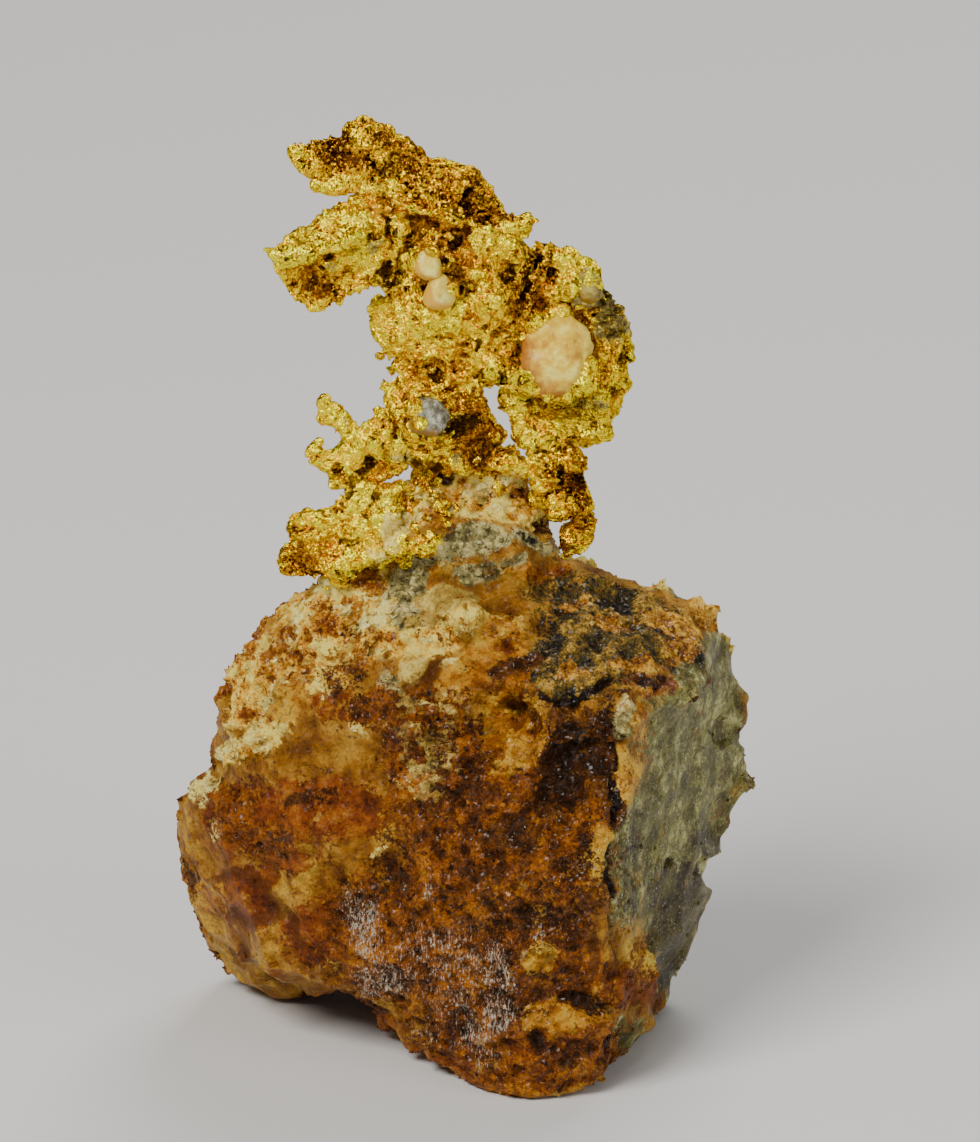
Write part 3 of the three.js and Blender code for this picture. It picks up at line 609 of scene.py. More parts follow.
# The deep fissure beside the slab, the crack below it and the undercut edge of the crust. The material
# paints them near-black as shade.
MATRIX_FISSURES = [
    [(6.9, -8.6), (6.6, -10.5), (6.5, -12.0), (6.4, -13.4), (6.15, -14.8), (6.1, -16.0), (6.3, -17.5),
     (6.5, -18.6)],
    [(2.5, -6.3), (3.4, -6.7), (4.4, -6.6), (5.4, -6.2), (6.2, -5.8)],
]
VEIN_WIDTH = 0.45
FISSURE_WIDTH = 0.3

# Hollows and rises on the display plane, as ovals with a height in mm in place of the strength.
MATRIX_FORMS = [
    (4.9, -9.4, 1.9, 2.8, -0.9), (4.0, -12.0, 1.4, 2.2, -0.4, 10), (0.9, -8.4, 1.4, 1.9, -0.25),
    (5.6, -14.4, 0.6, 1.3, 0.3), (4.7, -22.5, 1.1, 0.5, -0.5), (-8.8, -8.9, 2.9, 1.7, -0.2),
    (-2.2, -1.4, 1.7, 0.65, 0.25, 3), (-3.9, -5.1, 0.9, 0.55, 0.2, 40), (9.57, -15.3, 0.2, 0.22, -0.5),
    (4.6, -4.4, 2.6, 1.6, 0.3), (0.6, -13.8, 1.8, 1.2, -0.3), (1.6, -18.3, 1.7, 1.1, -0.3),
    (2.9, 2.6, 0.6, 0.5, -0.4), (-3.9, 2.7, 1.2, 1.7, 1.0, 10), (0.4, 5.0, 2.6, 0.8, 0.5),
    (-9.8, -16.2, 1.6, 1.4, 0.2), (-11.2, -19.1, 1.3, 1.0, 0.2, -20), (8.4, -5.7, 0.9, 0.4, -0.3),
]
# The same for places where the outline turns, which the camera sees edge on.
MATRIX_EDGES = [
    (-14.8, -6.3, 1.2, 0.9, -0.7), (14.0, -11.0, 1.0, 1.0, -0.45), (12.8, -13.2, 1.2, 1.6, -0.5),
    (11.4, -15.6, 0.8, 0.7, -0.5), (9.6, -22.0, 1.2, 2.0, -0.5), (-6.0, -23.6, 2.4, 0.7, -0.3, -25),
    (8.0, -0.2, 3.0, 0.8, -0.4, -8), (-12.6, -3.0, 0.8, 0.8, -0.3), (12.4, -8.4, 0.8, 0.7, -0.4),
]


def matrix_skin():
    """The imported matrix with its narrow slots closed, as a fine skin."""
    points, faces = solid_of("quartz_matrix")
    points, faces = skinned(points + SLOT_CLOSING * normals_of(points, faces), faces, COARSE_SKIN)
    points = relaxed(points - SLOT_CLOSING * normals_of(points, faces), faces, 2)
    points, faces = skinned(points, halved(faces), MATRIX_SKIN)
    return relaxed(points, faces, 2), faces


def matrix_values(points, out):
    """How much of each zone there is at each point, the points' places, and which face the camera."""
    front = smooth_step(out @ TOWARD, -0.1, 0.2)
    back = 1 - front
    place = display_place(points, 30)
    values = {name: in_ovals(place, ovals) * front for name, ovals in MATRIX_ZONES.items()}
    fine_place = display_place(points, 36, stray=0.3)
    values["vein"] = on_routes(fine_place, MATRIX_VEINS, VEIN_WIDTH) * front
    streaks = on_routes(fine_place, WHITE_STREAKS, STREAK_WIDTH) * front
    values["white"] = np.maximum(values["white"], streaks)
    values["fissure"] = on_routes(fine_place, MATRIX_FISSURES, FISSURE_WIDTH) * front
    side = points[:, 0] + 2.5 * layered(points, 5, 60)
    values["slab"] += back * smooth_step(side, 6.5, 8.0)
    values["rust"] += back * smooth_step(layered(points, 6, 61) - 0.04 * side, -0.15, 0.2)
    values["cream"] += back * smooth_step(layered(points, 5, 62) + 0.03 * (points[:, 2] - 15), 0.15, 0.45)
    values["beige"] += back * smooth_step(layered(points, 4, 63) - 0.05 * side, 0.2, 0.5)
    values["brown"] += back * smooth_step(layered(points, 4, 64), 0.3, 0.55)
    values["crust"] += back * smooth_step(layered(points, 5, 65) + 0.05 * (points[:, 2] - 22), 0.35, 0.6)
    return values, place, front


def matrix_rise(points, values, place, front):
    """How far the skin is pushed out at each point, and how glassy and how crumbly it is there."""
    granular = np.clip(values["rust"] + values["crust"] + values["brown"] + values["needles"], 0, 1)
    crumbly = values["cream"] + 0.6 * values["white"] + values["orange"] + values["clay"]
    crumbly = np.clip(crumbly, 0, 1) * (1 - granular)
    slab = values["slab"] * (1 - granular) * (1 - crumbly)
    glassy = np.clip(1 - granular - crumbly, 0, 1)
    rise = 0.9 * scoops(points, 3.2, 70) * (1 - 0.5 * slab)
    rise += 0.42 * scoops(points, 1.3, 71) * (1 - 0.75 * slab)
    rise += 0.1 * scoops(points, 0.9, 72, (1.0, 1.6, 0.7)) * slab
    rise += crumbly * (0.24 * layered(points, 1.1, 73) + 0.36 * scoops(points, 0.8, 74))
    hackly = 0.4 * layered(points, 1.3, 75) + 0.3 * scoops(points, 0.6, 76)
    rise += granular * (1 - 0.5 * values["crust"]) * hackly
    rise += (granular + 0.5 * crumbly) * 0.12 * noise(points, 0.3, 77)
    rise += pushed(place, MATRIX_FORMS) * front + pushed(place, MATRIX_EDGES)
    rise -= MATRIX_SHRINK + 0.35 * values["fissure"] + 0.05 * values["vein"]
    return rise * smooth_step(points[:, 2], 0.0, 0.9), glassy, crumbly


def quartz_crumbs(points, faces, values, material):
    """Loose grains and flakes seated on the matrix, larger and flatter where it is crumbly."""
    random = np.random.default_rng(CRUMB_SEED)
    spots, out, held = scattered(points, faces, CRUMBS_PER_MM2, random)
    own = {key: value[faces[held, 0]] for key, value in values.items()}
    kept = random.random(len(spots)) > GLASSY_BARE * own["glassy"]
    spots, out, own = spots[kept], out[kept], {key: value[kept] for key, value in own.items()}
    sizes = random.uniform(*CRUMB_SIZES, (len(spots), 1)) * random.uniform(0.6, 1.4, (len(spots), 3))
    sizes *= 1 + CRUMBLY_EXTRA * own["crumbly"][:, None]
    sizes[:, 0] *= 1 - 0.55 * own["crumbly"]
    spots = spots - out * random.uniform(0.0, CRUMB_DEPTH, (len(spots), 1))
    own["tint"] = random.random(len(spots))
    crumbs, sides = crystals(spots, sizes, random)
    crumbs[:, 2] = np.maximum(crumbs[:, 2], 0)
    own = {key: np.repeat(value, len(OCTAHEDRON[0])) for key, value in own.items()}
    add_piece("quartz_crumbs", crumbs, sides, material, "quartz_matrix", own)


def quartz_block(material):
    """Adds the matrix in two pieces, which share their border, and gives back its whole skin."""
    points, faces = matrix_skin()
    out = normals_of(points, faces)
    values, place, front = matrix_values(points, out)
    rise, values["glassy"], values["crumbly"] = matrix_rise(points, values, place, front)
    points = points + out * rise[:, None]
    points[:, 2] = np.maximum(points[:, 2], 0)
    # The relief sets the painted shade in the pits, and the broad relief sets the painted shade and light
    # of hollows and ridges.
    values["relief"] = relief(points, faces, 8)
    values["broad_relief"] = relief(points, faces, 45)
    values["tint"] = np.full(len(points), 0.5)
    faces = halved(faces)
    behind = points[faces, 1].mean(1) > 0
    for name, side in (("quartz_matrix_display_side", ~behind), ("quartz_matrix_back", behind)):
        kept, corners = np.unique(faces[side], return_inverse=True)
        own = {key: value[kept] for key, value in values.items()}
        add_piece(name, points[kept], corners.reshape(-1, 3), material, "quartz_matrix", own)
    quartz_crumbs(points, faces, values, material)
    return points, faces


# Colours as the pattern rises: of clean quartz, then of each zone in the order they lie over each other.
QUARTZ_TONES = [(0.36, (0.16, 0.05, 0.004)), (0.5, (0.34, 0.135, 0.011)), (0.64, (0.52, 0.27, 0.028))]
MATRIX_LAYERS = [
    ("beige", "soft", [(0.39, (0.23, 0.09, 0.006)), (0.49, (0.44, 0.205, 0.016)),
                       (0.6, (0.64, 0.37, 0.04))]),
    ("slab", "rough", [(0.36, (0.085, 0.072, 0.017)), (0.47, (0.18, 0.16, 0.037)),
                       (0.55, (0.31, 0.285, 0.08)), (0.65, (0.66, 0.63, 0.26))]),
    ("olive", "soft", [(0.4, (0.035, 0.025, 0.003)), (0.5, (0.078, 0.058, 0.007)),
                       (0.62, (0.15, 0.12, 0.02))]),
    ("cream", "grainy", [(0.37, (0.18, 0.045, 0.002)), (0.42, (0.54, 0.19, 0.01)),
                         (0.485, (0.95, 0.52, 0.04)), (0.57, (1.0, 0.83, 0.17))]),
    ("clay", "rough", [(0.38, (0.08, 0.06, 0.016)), (0.5, (0.3, 0.255, 0.085)),
                       (0.6, (0.72, 0.62, 0.25))]),
    ("orange", "rough", [(0.38, (0.16, 0.03, 0.002)), (0.5, (0.38, 0.11, 0.006)),
                         (0.62, (0.66, 0.3, 0.02))]),
    ("white", "rough", [(0.38, (0.5, 0.28, 0.04)), (0.48, (0.92, 0.7, 0.15)), (0.6, (1.0, 0.92, 0.34))]),
    ("band", "rough", [(0.36, (0.06, 0.01, 0.001)), (0.46, (0.18, 0.034, 0.002)),
                       (0.56, (0.3, 0.07, 0.005)), (0.66, (0.4, 0.14, 0.014))]),
    ("rust", "rust", [(0.38, (0.014, 0.006, 0.001)), (0.45, (0.06, 0.014, 0.001)),
                      (0.51, (0.17, 0.043, 0.002)), (0.57, (0.36, 0.1, 0.004)),
                      (0.65, (0.54, 0.22, 0.02))]),
    ("amber", "soft", [(0.4, (0.28, 0.08, 0.004)), (0.5, (0.52, 0.21, 0.012)), (0.62, (0.68, 0.4, 0.04))]),
    ("flake", "soft", [(0.4, (0.34, 0.2, 0.03)), (0.5, (0.56, 0.37, 0.065)), (0.6, (0.8, 0.6, 0.15))]),
    ("crust", "speckle", [(0.4, (0.014, 0.012, 0.005)), (0.47, (0.06, 0.045, 0.012)),
                          (0.52, (0.14, 0.09, 0.016)), (0.565, (0.33, 0.16, 0.01)),
                          (0.63, (0.62, 0.4, 0.07))]),
    ("ochre", "speckle", [(0.41, (0.09, 0.026, 0.002)), (0.5, (0.46, 0.17, 0.008)),
                          (0.59, (0.85, 0.52, 0.07))]),
    ("brown", "rust", [(0.38, (0.008, 0.003, 0.001)), (0.48, (0.042, 0.012, 0.001)),
                       (0.6, (0.18, 0.055, 0.005))]),
    ("black", "speckle", [(0.42, (0.004, 0.004, 0.003)), (0.52, (0.014, 0.011, 0.008)),
                          (0.64, (0.1, 0.085, 0.06))]),
]
CRISP_ZONES = {"beige", "white", "cream", "clay", "flake", "amber", "ochre"}  # these end at flake edges


def quartz_patterns(look):
    """The patterns that the colours follow. The mesh's tint and fine flakes shift them, and its broad
    relief adds painted shade in hollows and painted light on ridges.
    """
    tint = look.plus(-0.08, look.value("tint"), 0.16)
    # Painted shade in broad hollows and painted light on broad ridges.
    tint = look.plus(tint, look.step(look.value("broad_relief"), -0.3, 0.25, -0.05, 0.04))
    grain = look.noise(0.2, 5, 0.85, shift=10)
    finest = look.plus(tint, grain, 0.5)
    tint = look.plus(tint, look.flakes(0.55, 0.05))
    tint = look.plus(tint, look.flakes(1.7, 0.04, shift=35))
    rough = look.noise(1.2, 8, 0.76, shift=20)
    return {
        "soft": look.plus(look.plus(look.plus(-0.08, tint), look.noise(1.8, 7, 0.66)), grain, 0.16),
        "rough": look.plus(look.plus(look.plus(-0.15, tint), grain, 0.3), rough),
        "speckle": look.plus(look.plus(tint, grain, 0.6), rough, 0.4),
        "grainy": look.plus(look.plus(tint, grain, 0.4), rough, 0.6),
        "rust": look.plus(finest, look.noise(2.6, 6, 0.72, shift=40), 0.5),
    }


def zoned_quartz(look, ragged):
    """The colour of clean quartz with the zones laid over it, each with a ragged or a flaky border."""
    patterns = quartz_patterns(look)
    crisp = look.plus(look.flakes(0.45, 0.24, shift=12), look.flakes(1.2, 0.22, shift=25))
    color = look.ramp(patterns["soft"], QUARTZ_TONES)
    for index, (zone, pattern, stops) in enumerate(MATRIX_LAYERS):
        border = crisp if zone in CRISP_ZONES else ragged[index % 3]
        weight = look.step(look.plus(border, look.value(zone)), 0.36, 0.68)
        color = look.mix(weight, color, look.ramp(patterns[pattern], stops))
    return color


def marked_quartz(look, color, ragged):
    """The colour with pale needles, rusty veins and specks on it, painted shade in the fissures and pits,
    and painted glints on the cream and the slab.
    """
    cluster = look.plus(look.math("MULTIPLY", look.value("needles"), 0.19), ragged[0], 0.12)
    needle = look.noise(0.16, 4, 0.7, stretch=(0.6, 1.0, 2.2))
    color = look.mix(look.step(look.plus(cluster, needle), 0.68, 0.77), color, (0.60, 0.51, 0.38))
    rusty = look.step(look.plus(look.value("vein"), ragged[1], 0.5), 0.25, 0.8)
    color = look.mix(look.math("MULTIPLY", rusty, 0.7), color, (0.12, 0.032, 0.003))
    # Painted shade: near-black along the fissures and the crust's undercut edge.
    fissure_shade = look.step(look.plus(look.value("fissure"), ragged[2], 0.3), 0.4, 0.9)
    color = look.mix(fissure_shade, color, (0.012, 0.005, 0.002))
    # Painted shade: dark brown in the pits, where the relief is low, weaker on the slab.
    pit_shade = look.step(look.value("relief"), 0.02, -0.16)
    pit_shade = look.math("MULTIPLY", pit_shade, look.step(look.value("slab"), 0.0, 1.0, 0.6, 0.2))
    color = look.mix(pit_shade, color, (0.030, 0.010, 0.002))
    speck = look.step(look.noise(0.16, 3, 0.6, shift=110), 0.37, 0.31, 0.0, 0.7)
    color = look.mix(speck, color, (0.05, 0.014, 0.002))
    # Painted glints: pale spots in the colour, on the cream and more on the slab.
    glint_share = look.plus(look.math("MULTIPLY", look.value("cream"), 0.4), look.value("slab"), 0.6)
    painted_glints = look.step(look.noise(0.13, 2, 0.5, shift=90), 0.64, 0.70)
    return look.mix(look.math("MULTIPLY", painted_glints, glint_share), color, (0.90, 0.84, 0.60))


def quartz_look():
    """Honey-coloured vein quartz with iron stains."""
    look = Look("iron_stained_quartz")
    speckled = look.plus(-2.4, look.noise(0.22, 4, 0.75, shift=50), 2.4)
    ragged = [look.plus(speckled, look.noise(1.4, 6, 0.7, shift=60 + 20 * n), 2.4) for n in range(3)]
    color = marked_quartz(look, zoned_quartz(look, ragged), ragged)
    normal = look.bump(look.noise(0.4, 6, 0.75), 0.2, look.tilted(0.5, 0.35))
    normal = look.bump(look.cells(0.2)["Distance"], 0.06, normal)
    roughness = look.step(look.value("glassy"), 0.2, 0.8, 0.8, 0.34)
    gloss = look.plus(look.step(look.value("glassy"), 0.0, 0.6, 0.3, 0.08), look.value("slab"), 0.15)
    coat = {"Coat Weight": gloss, "Coat Normal": look.tilted(0.2, 1.3)}
    return look.finish(color, roughness, normal, links=coat, Coat_Roughness=0.16, Specular_IOR_Level=0.12)


# ---------------------------------------------------------------- quartz grains
GRAIN_SKIN = 0.1  # mm across the squares of a grain's skin
GRAIN_DEPTH = 0.1  # mm that a grain is pushed into the gold
GRAIN_FLATTENING = 0.35  # share taken off what stands out furthest towards the camera
GRAIN_SWELL = 0.1  # mm added all round, so that it meets the gold


def quartz_grain(node, seed, material, depth=GRAIN_DEPTH, break_height=0.45):
    """A grain that lies flush with the gold: its side towards the camera is flattened."""
    points, faces = solid_of(node)
    middle, half = (points.min(0) + points.max(0)) / 2, (points.max(0) - points.min(0)) / 2
    points, faces = skinned(points, faces, GRAIN_SKIN)
    points = relaxed(points, faces, 8)
    points = points - depth * TOWARD
    lift = (points - middle) @ TOWARD
    points = points - GRAIN_FLATTENING * np.maximum(lift - 0.4 * lift.max(), 0)[:, None] * TOWARD
    out = normals_of(points, faces)
    rise = GRAIN_SWELL + break_height * scoops(points, 1.1, seed) + 0.2 * layered(points, 0.9, seed + 1)
    points = points + out * rise[:, None]
    away = (points - middle) / half
    edge = np.hypot(away[:, 0], away[:, 2]) * smooth_step(away[:, 0] + away[:, 2], 1.0, -1.2)
    add_piece(node + "_skin", points, halved(faces), material, node, {"edge": edge}, smooth=1.0)


def grain_look(name, tones, stain, patch=0.9):
    look = Look(name)
    color = look.ramp(look.noise(patch, 6, 0.68), tones)
    edge = look.plus(look.value("edge"), look.noise(0.5, 5, 0.7), 1.2)
    color = look.mix(look.step(edge, 0.85, 1.5), color, stain)
    normal = look.bump(look.noise(0.35, 4, 0.6), 0.06)
    return look.finish(color, 0.34, normal, Specular_IOR_Level=0.35, Subsurface_Weight=0.2,
                       Subsurface_Radius=(1.0, 0.6, 0.2), Subsurface_Scale=0.001)


# ---------------------------------------------------------------- gold
GOLD_SKIN = 0.074  # mm across the squares of the gold's skin
SPECK_POINTS = 60  # a loose part of the skin with fewer points than this is dropped
LEAF_SIZE = 0.2  # mm, crystals larger than this stay off the smooth leaves
GOLD_INSET = 0.14  # mm taken off all round, which makes up for what the crystals add
GOLD_SHRINK = 0.06  # mm, which makes up for what the breaks add
GOLD_TRIANGLES = {
    "gold_trunk": 196000, "gold_crest": 46000, "gold_beak_leaf": 60000, "gold_right_lobe": 136000,
    "gold_hanging_spur": 34000, "gold_left_spray": 46000, "gold_foot_sheet": 60000,
}

# Crystals on the branches: how many per square mm, the smallest and largest half-width, the flatness.
GOLD_CRYSTALS = [(1.0, 0.25, 0.5, 0.25), (4.0, 0.13, 0.3, 0.5), (9.0, 0.09, 0.18, 0.9)]

GRAINS_IN = {
    "gold_trunk": ["quartz_grain_upper", "quartz_grain_lower", "quartz_grain_grey"],
    "gold_right_lobe": ["quartz_grain_large", "quartz_grain_shoulder"],
}
RIM_DENSITY = 3.5  # crystals per square mm of a grain's edge
# How far they lap over each grain, as a cosine from the camera.
RIM_REACH = {
    "quartz_grain_large": 0.18, "quartz_grain_shoulder": 0.1, "quartz_grain_grey": 0.45,
    "quartz_grain_upper": 0.3, "quartz_grain_lower": 0.35,
}

# Where a branch has spilled over the matrix, on the display plane.
GILT_OF = {
    "gold_trunk": [
        (-2.4, 3.6, 0.5, 1.4, 1.0, 10), (-3.2, 4.7, 0.9, 0.4), (1.3, 5.1, 1.2, 0.4),
        (-0.6, 5.2, 1.3, 0.35), (0.4, 4.3, 0.4, 0.5, 1.0, 20), (2.3, 4.2, 0.3, 0.8),
    ],
    "gold_foot_sheet": [
        (-5.6, 0.8, 1.5, 0.4, 1.0, 20), (-7.9, -0.1, 1.3, 0.4, 1.0, 20),
        (-3.6, 2.4, 0.5, 1.0, 1.0, 10), (-3.0, 1.4, 0.7, 0.3, 1.0, 10), (-3.6, 4.2, 0.5, 0.6, 0.8),
        (-4.6, 0.9, 0.8, 0.3, 0.8, 15),
    ],
}
GILT_DENSITY = 9.0  # crystals per square mm there
GILT_BACK = 0.5  # mm, how far back it reaches
GILT_CRYSTALS = (0.15, 0.4, 0.45, -0.1)  # smallest and largest half-width, flatness and depth
RIM_CRYSTALS = (0.2, 0.45, 0.35, 0.05)  # the same round the grains
LACE_DEPTH = 0.3  # mm, the pits that make the crystalline gold a lace
LACE_GRAIN = np.array([1.0, 1.0, 1.7])  # flattens the pits, as the leaves lie
GOLD_STRAY = 0.65  # mm, the stray of the gold's zones
EDGE_STRAY = 0.2  # mm, the stray of its edges
RIDGE_HEIGHT = 0.35  # mm
RIDGE_WIDTH = 0.5
FOLD_DEPTH = 0.3
FOLD_WIDTH = 0.35

# The lips and folds of the gold leaves on the display plane.
GOLD_RIDGES = [
    [(-11.3, 16.5), (-9.8, 16.6), (-8.2, 17.0), (-6.9, 17.7), (-5.6, 18.7)],
    [(-4.8, 18.9), (-3.0, 18.6), (-1.4, 18.2), (-0.2, 17.4)],
    [(-7.6, 14.6), (-6.4, 15.3), (-5.4, 16.2)],
]
GOLD_FOLDS = [
    [(-10.6, 15.9), (-9.4, 15.9), (-8.0, 16.3), (-6.8, 16.9), (-5.3, 17.8)],
    [(-5.4, 17.9), (-4.0, 17.9), (-2.0, 17.6), (-1.4, 16.4)],
    [(-6.0, 4.4), (-6.4, 3.0)],
]

# Where the outline of a branch stands out or is cut back, as ovals with a height in mm.
GOLD_EDGES_OF = {
    "gold_trunk": [
        (0.1, 8.7, 0.45, 1.2, -0.35, 25), (0.2, 10.6, 0.6, 0.7, 0.4), (1.4, 6.4, 0.6, 0.5, 0.2),
        (2.6, 18.4, 0.6, 0.5, -0.2), (-6.1, 13.0, 0.5, 1.0, -0.1), (-5.4, 11.2, 0.6, 0.5, 0.0),
        (-3.4, 8.2, 1.4, 1.3, 0.25), (-3.4, 16.0, 1.1, 1.1, 0.08), (-2.8, 14.5, 0.9, 1.0, -0.15),
        (-3.3, 4.9, 0.6, 0.4, 0.4), (-5.9, 4.7, 0.8, 0.5, 0.4),
    ],
    "gold_right_lobe": [
        (1.0, 9.2, 0.6, 1.5, 0.45, -20), (0.8, 10.5, 0.7, 0.8, 0.65), (1.5, 7.0, 0.6, 0.7, 0.2),
        (2.9, 8.9, 0.9, 0.5, -0.3, -20), (5.6, 6.8, 1.1, 0.6, 0.45), (6.4, 15.4, 1.0, 0.7, -0.4, -45),
        (7.3, 12.4, 0.5, 1.8, 0.2), (4.3, 16.9, 1.2, 0.5, -0.3, -15), (3.3, 11.1, 2.6, 3.0, 0.2),
        (4.7, 14.6, 0.9, 1.0, 0.4),
    ],
    "gold_hanging_spur": [
        (4.0, 2.0, 0.5, 0.8, 0.4), (4.6, 5.9, 0.8, 0.6, 0.4), (4.1, 3.5, 0.5, 0.5, 0.25),
        (2.4, 5.2, 0.5, 0.8, 0.2),
    ],
    "gold_crest": [
        (-8.4, 20.1, 0.8, 0.4, 0.3), (-9.4, 21.4, 0.9, 0.9, 0.3), (-0.4, 20.6, 0.8, 0.4, -0.3, -40),
        (-5.4, 21.0, 1.4, 0.9, 0.25), (-5.5, 22.0, 0.6, 0.5, 0.3),
    ],
    "gold_beak_leaf": [
        (-11.4, 16.8, 0.9, 0.7, -0.4, 30), (-7.2, 14.1, 1.4, 0.5, -0.3, 20),
        (-10.4, 18.0, 1.2, 0.4, -0.2, 20), (-4.5, 18.1, 0.8, 0.8, -0.6),
    ],
    "gold_foot_sheet": [
        (-10.8, 2.6, 0.5, 0.8, -0.2), (-5.4, 4.4, 1.4, 0.5, 0.4), (-3.9, 3.0, 0.5, 1.4, -0.4, 15),
        (-10.2, -0.6, 0.9, 0.4, -0.3),
    ],
    "gold_left_spray": [(-8.3, 7.2, 0.5, 0.5, -0.3, -40), (-8.8, 4.6, 0.4, 0.8, 0.1)],
}

# Zones on the display plane, as ovals.
GOLD_ZONES = {
    "stain": [
        (-3.6, 18.0, 1.9, 0.45, 1.0, -3), (-1.9, 17.3, 0.8, 0.8, 0.9),
        (-1.5, 16.2, 0.9, 0.9, 0.9, -20), (-2.3, 15.5, 1.0, 0.5, 0.9, 25), (-9.8, 15.6, 0.9, 0.6, 0.9),
        (-9.0, 14.8, 0.9, 0.9, 0.8), (-3.9, 17.1, 0.8, 0.4, 0.7), (-2.6, 11.2, 2.1, 1.0, 0.6),
        (0.3, 8.3, 0.7, 1.6, 0.8, 30), (-0.3, 7.0, 1.4, 1.9), (-2.4, 15.9, 1.6, 1.4, 0.6),
        (4.6, 3.2, 0.7, 1.6, 0.6), (-1.6, 9.0, 0.8, 0.7, 0.7), (2.0, 14.8, 1.3, 1.7, 0.55),
        (-7.6, 21.4, 1.2, 0.5, 0.55), (-4.4, 21.6, 1.4, 0.6, 0.5, -20), (6.3, 11.3, 0.8, 1.4, 0.45),
        (4.4, 5.0, 0.6, 1.2, 0.3), (-5.9, 18.9, 0.9, 1.0, 0.8), (-9.3, 0.9, 1.4, 1.2, 0.7),
        (-3.6, 10.4, 1.3, 1.2, 0.8), (6.4, 9.6, 0.7, 1.6, 0.5), (-5.6, 5.2, 1.0, 0.5, 0.8),
        (0.6, 18.6, 0.7, 0.5, 0.6),
    ],
    "brown": [
        (-1.1, 7.5, 1.1, 0.55), (-0.2, 6.0, 0.5, 0.5, 0.6), (-5.4, 20.8, 0.5, 0.3, 0.6),
        (-6.3, 5.7, 0.35, 0.6), (-6.9, 4.9, 0.7, 0.25, 0.9, 25), (-3.3, 5.6, 0.7, 0.5),
        (-5.2, 15.7, 0.6, 0.6), (-1.9, 15.9, 0.4, 0.5, 0.9), (6.9, 11.2, 0.3, 0.45, 0.9),
        (6.5, 9.6, 0.45, 0.5, 0.6), (-0.2, 10.1, 0.5, 0.3, 0.8), (0.9, 15.6, 0.35, 0.35, 0.7),
        (-10.9, 16.2, 0.25, 0.2, 0.9), (-0.6, 11.7, 0.2, 0.35), (-6.2, 4.0, 0.2, 0.7, 0.7, -10),
        (-7.6, 1.4, 0.6, 0.2, 0.6, 35), (4.4, 6.6, 0.4, 0.3, 0.6), (4.7, 4.6, 0.4, 0.8, 0.3),
    ],
    "dull": [
        (-6.0, 22.0, 3.6, 1.6), (-10.0, 1.0, 1.2, 1.8, 0.9), (-2.4, 20.2, 3.4, 1.8, 1.0, -32),
        (4.4, 3.8, 1.6, 3.2), (2.0, 14.8, 1.8, 2.2, 0.9), (6.3, 10.0, 1.3, 2.8, 0.6),
        (-0.4, 6.6, 1.4, 2.0, 0.9), (-2.4, 9.4, 1.6, 2.0, 0.6), (6.4, 13.4, 1.0, 1.2, 0.9, -35),
        (0.4, 19.2, 1.2, 0.8, 0.6, -40), (-9.2, 14.6, 1.4, 1.0, 0.6),
    ],
    "bright": [
        (-7.0, 2.2, 3.4, 2.4, 0.9, 20), (-7.4, 6.6, 2.2, 2.2, 0.8), (5.4, 9.0, 1.8, 2.6, 0.8),
        (0.3, 17.2, 1.6, 1.2, 0.9), (-3.2, 12.8, 2.6, 2.2), (4.4, 15.2, 1.8, 1.4),
        (-7.8, 17.6, 3.4, 0.9, 1.0, 20), (-5.9, 18.9, 1.0, 1.2), (-1.0, 12.0, 1.6, 1.2, 0.5),
    ],
    "leaf": [
        (-6.7, 16.6, 1.3, 0.9, 0.9, -10), (-9.6, 16.9, 1.9, 0.45, 1.0, 12),
        (-7.4, 17.8, 1.5, 0.6, 1.0, 25), (0.4, 17.4, 0.6, 0.5, 0.9), (-0.9, 16.9, 0.5, 0.4, 0.8, -40),
        (-5.3, 2.9, 1.0, 1.5, 1.0, -30), (-4.6, 1.9, 1.4, 0.5, 1.0, 25), (-6.7, 3.4, 0.8, 1.1, 0.7),
        (-4.3, 16.3, 0.5, 0.5, 0.8, 30), (4.6, 8.0, 2.0, 1.1, 0.8), (-8.0, 6.4, 0.9, 0.9, 0.6),
        (3.6, 15.6, 0.6, 0.5, 0.6),
    ],
    "cream": [
        (-4.9, 2.2, 1.1, 0.5, 1.0, 35), (-3.7, 2.9, 0.8, 1.1, 0.9), (-5.9, 0.9, 0.9, 0.35, 0.7, 20),
        (-0.4, 5.0, 1.0, 0.4, 0.7), (1.2, 4.9, 0.7, 0.3, 0.6), (-4.4, 6.1, 0.4, 0.3, 0.6),
    ],
    "dust": [
        (6.2, 14.2, 1.0, 0.8, 1.0, -35), (6.4, 12.9, 1.1, 1.1), (5.0, 14.5, 0.5, 0.7, 0.9),
        (-2.6, 7.4, 0.4, 0.35), (-4.3, 6.0, 0.55, 0.3, 0.8), (-1.7, 5.9, 0.4, 0.3, 0.8),
        (5.3, 8.6, 0.7, 0.4, 0.7), (-6.0, 16.9, 0.5, 0.5, 0.5), (-8.0, 15.8, 0.5, 0.4, 0.4),
    ],
}


def lumps(spots, out, smallest, largest, flatness, sunk, random):
    """Crystals at the spots, each sunk by up to the depth given. A low flatness makes leaves of them."""
    sizes = random.uniform(smallest, largest, (len(spots), 1)) * random.uniform(0.6, 1.35, (len(spots), 3))
    sizes[:, 0] = np.maximum(sizes[:, 0] * flatness, GOLD_SKIN)
    return crystals(spots - sunk * out * random.uniform(0.2, 1.0, (len(spots), 1)), sizes, random)


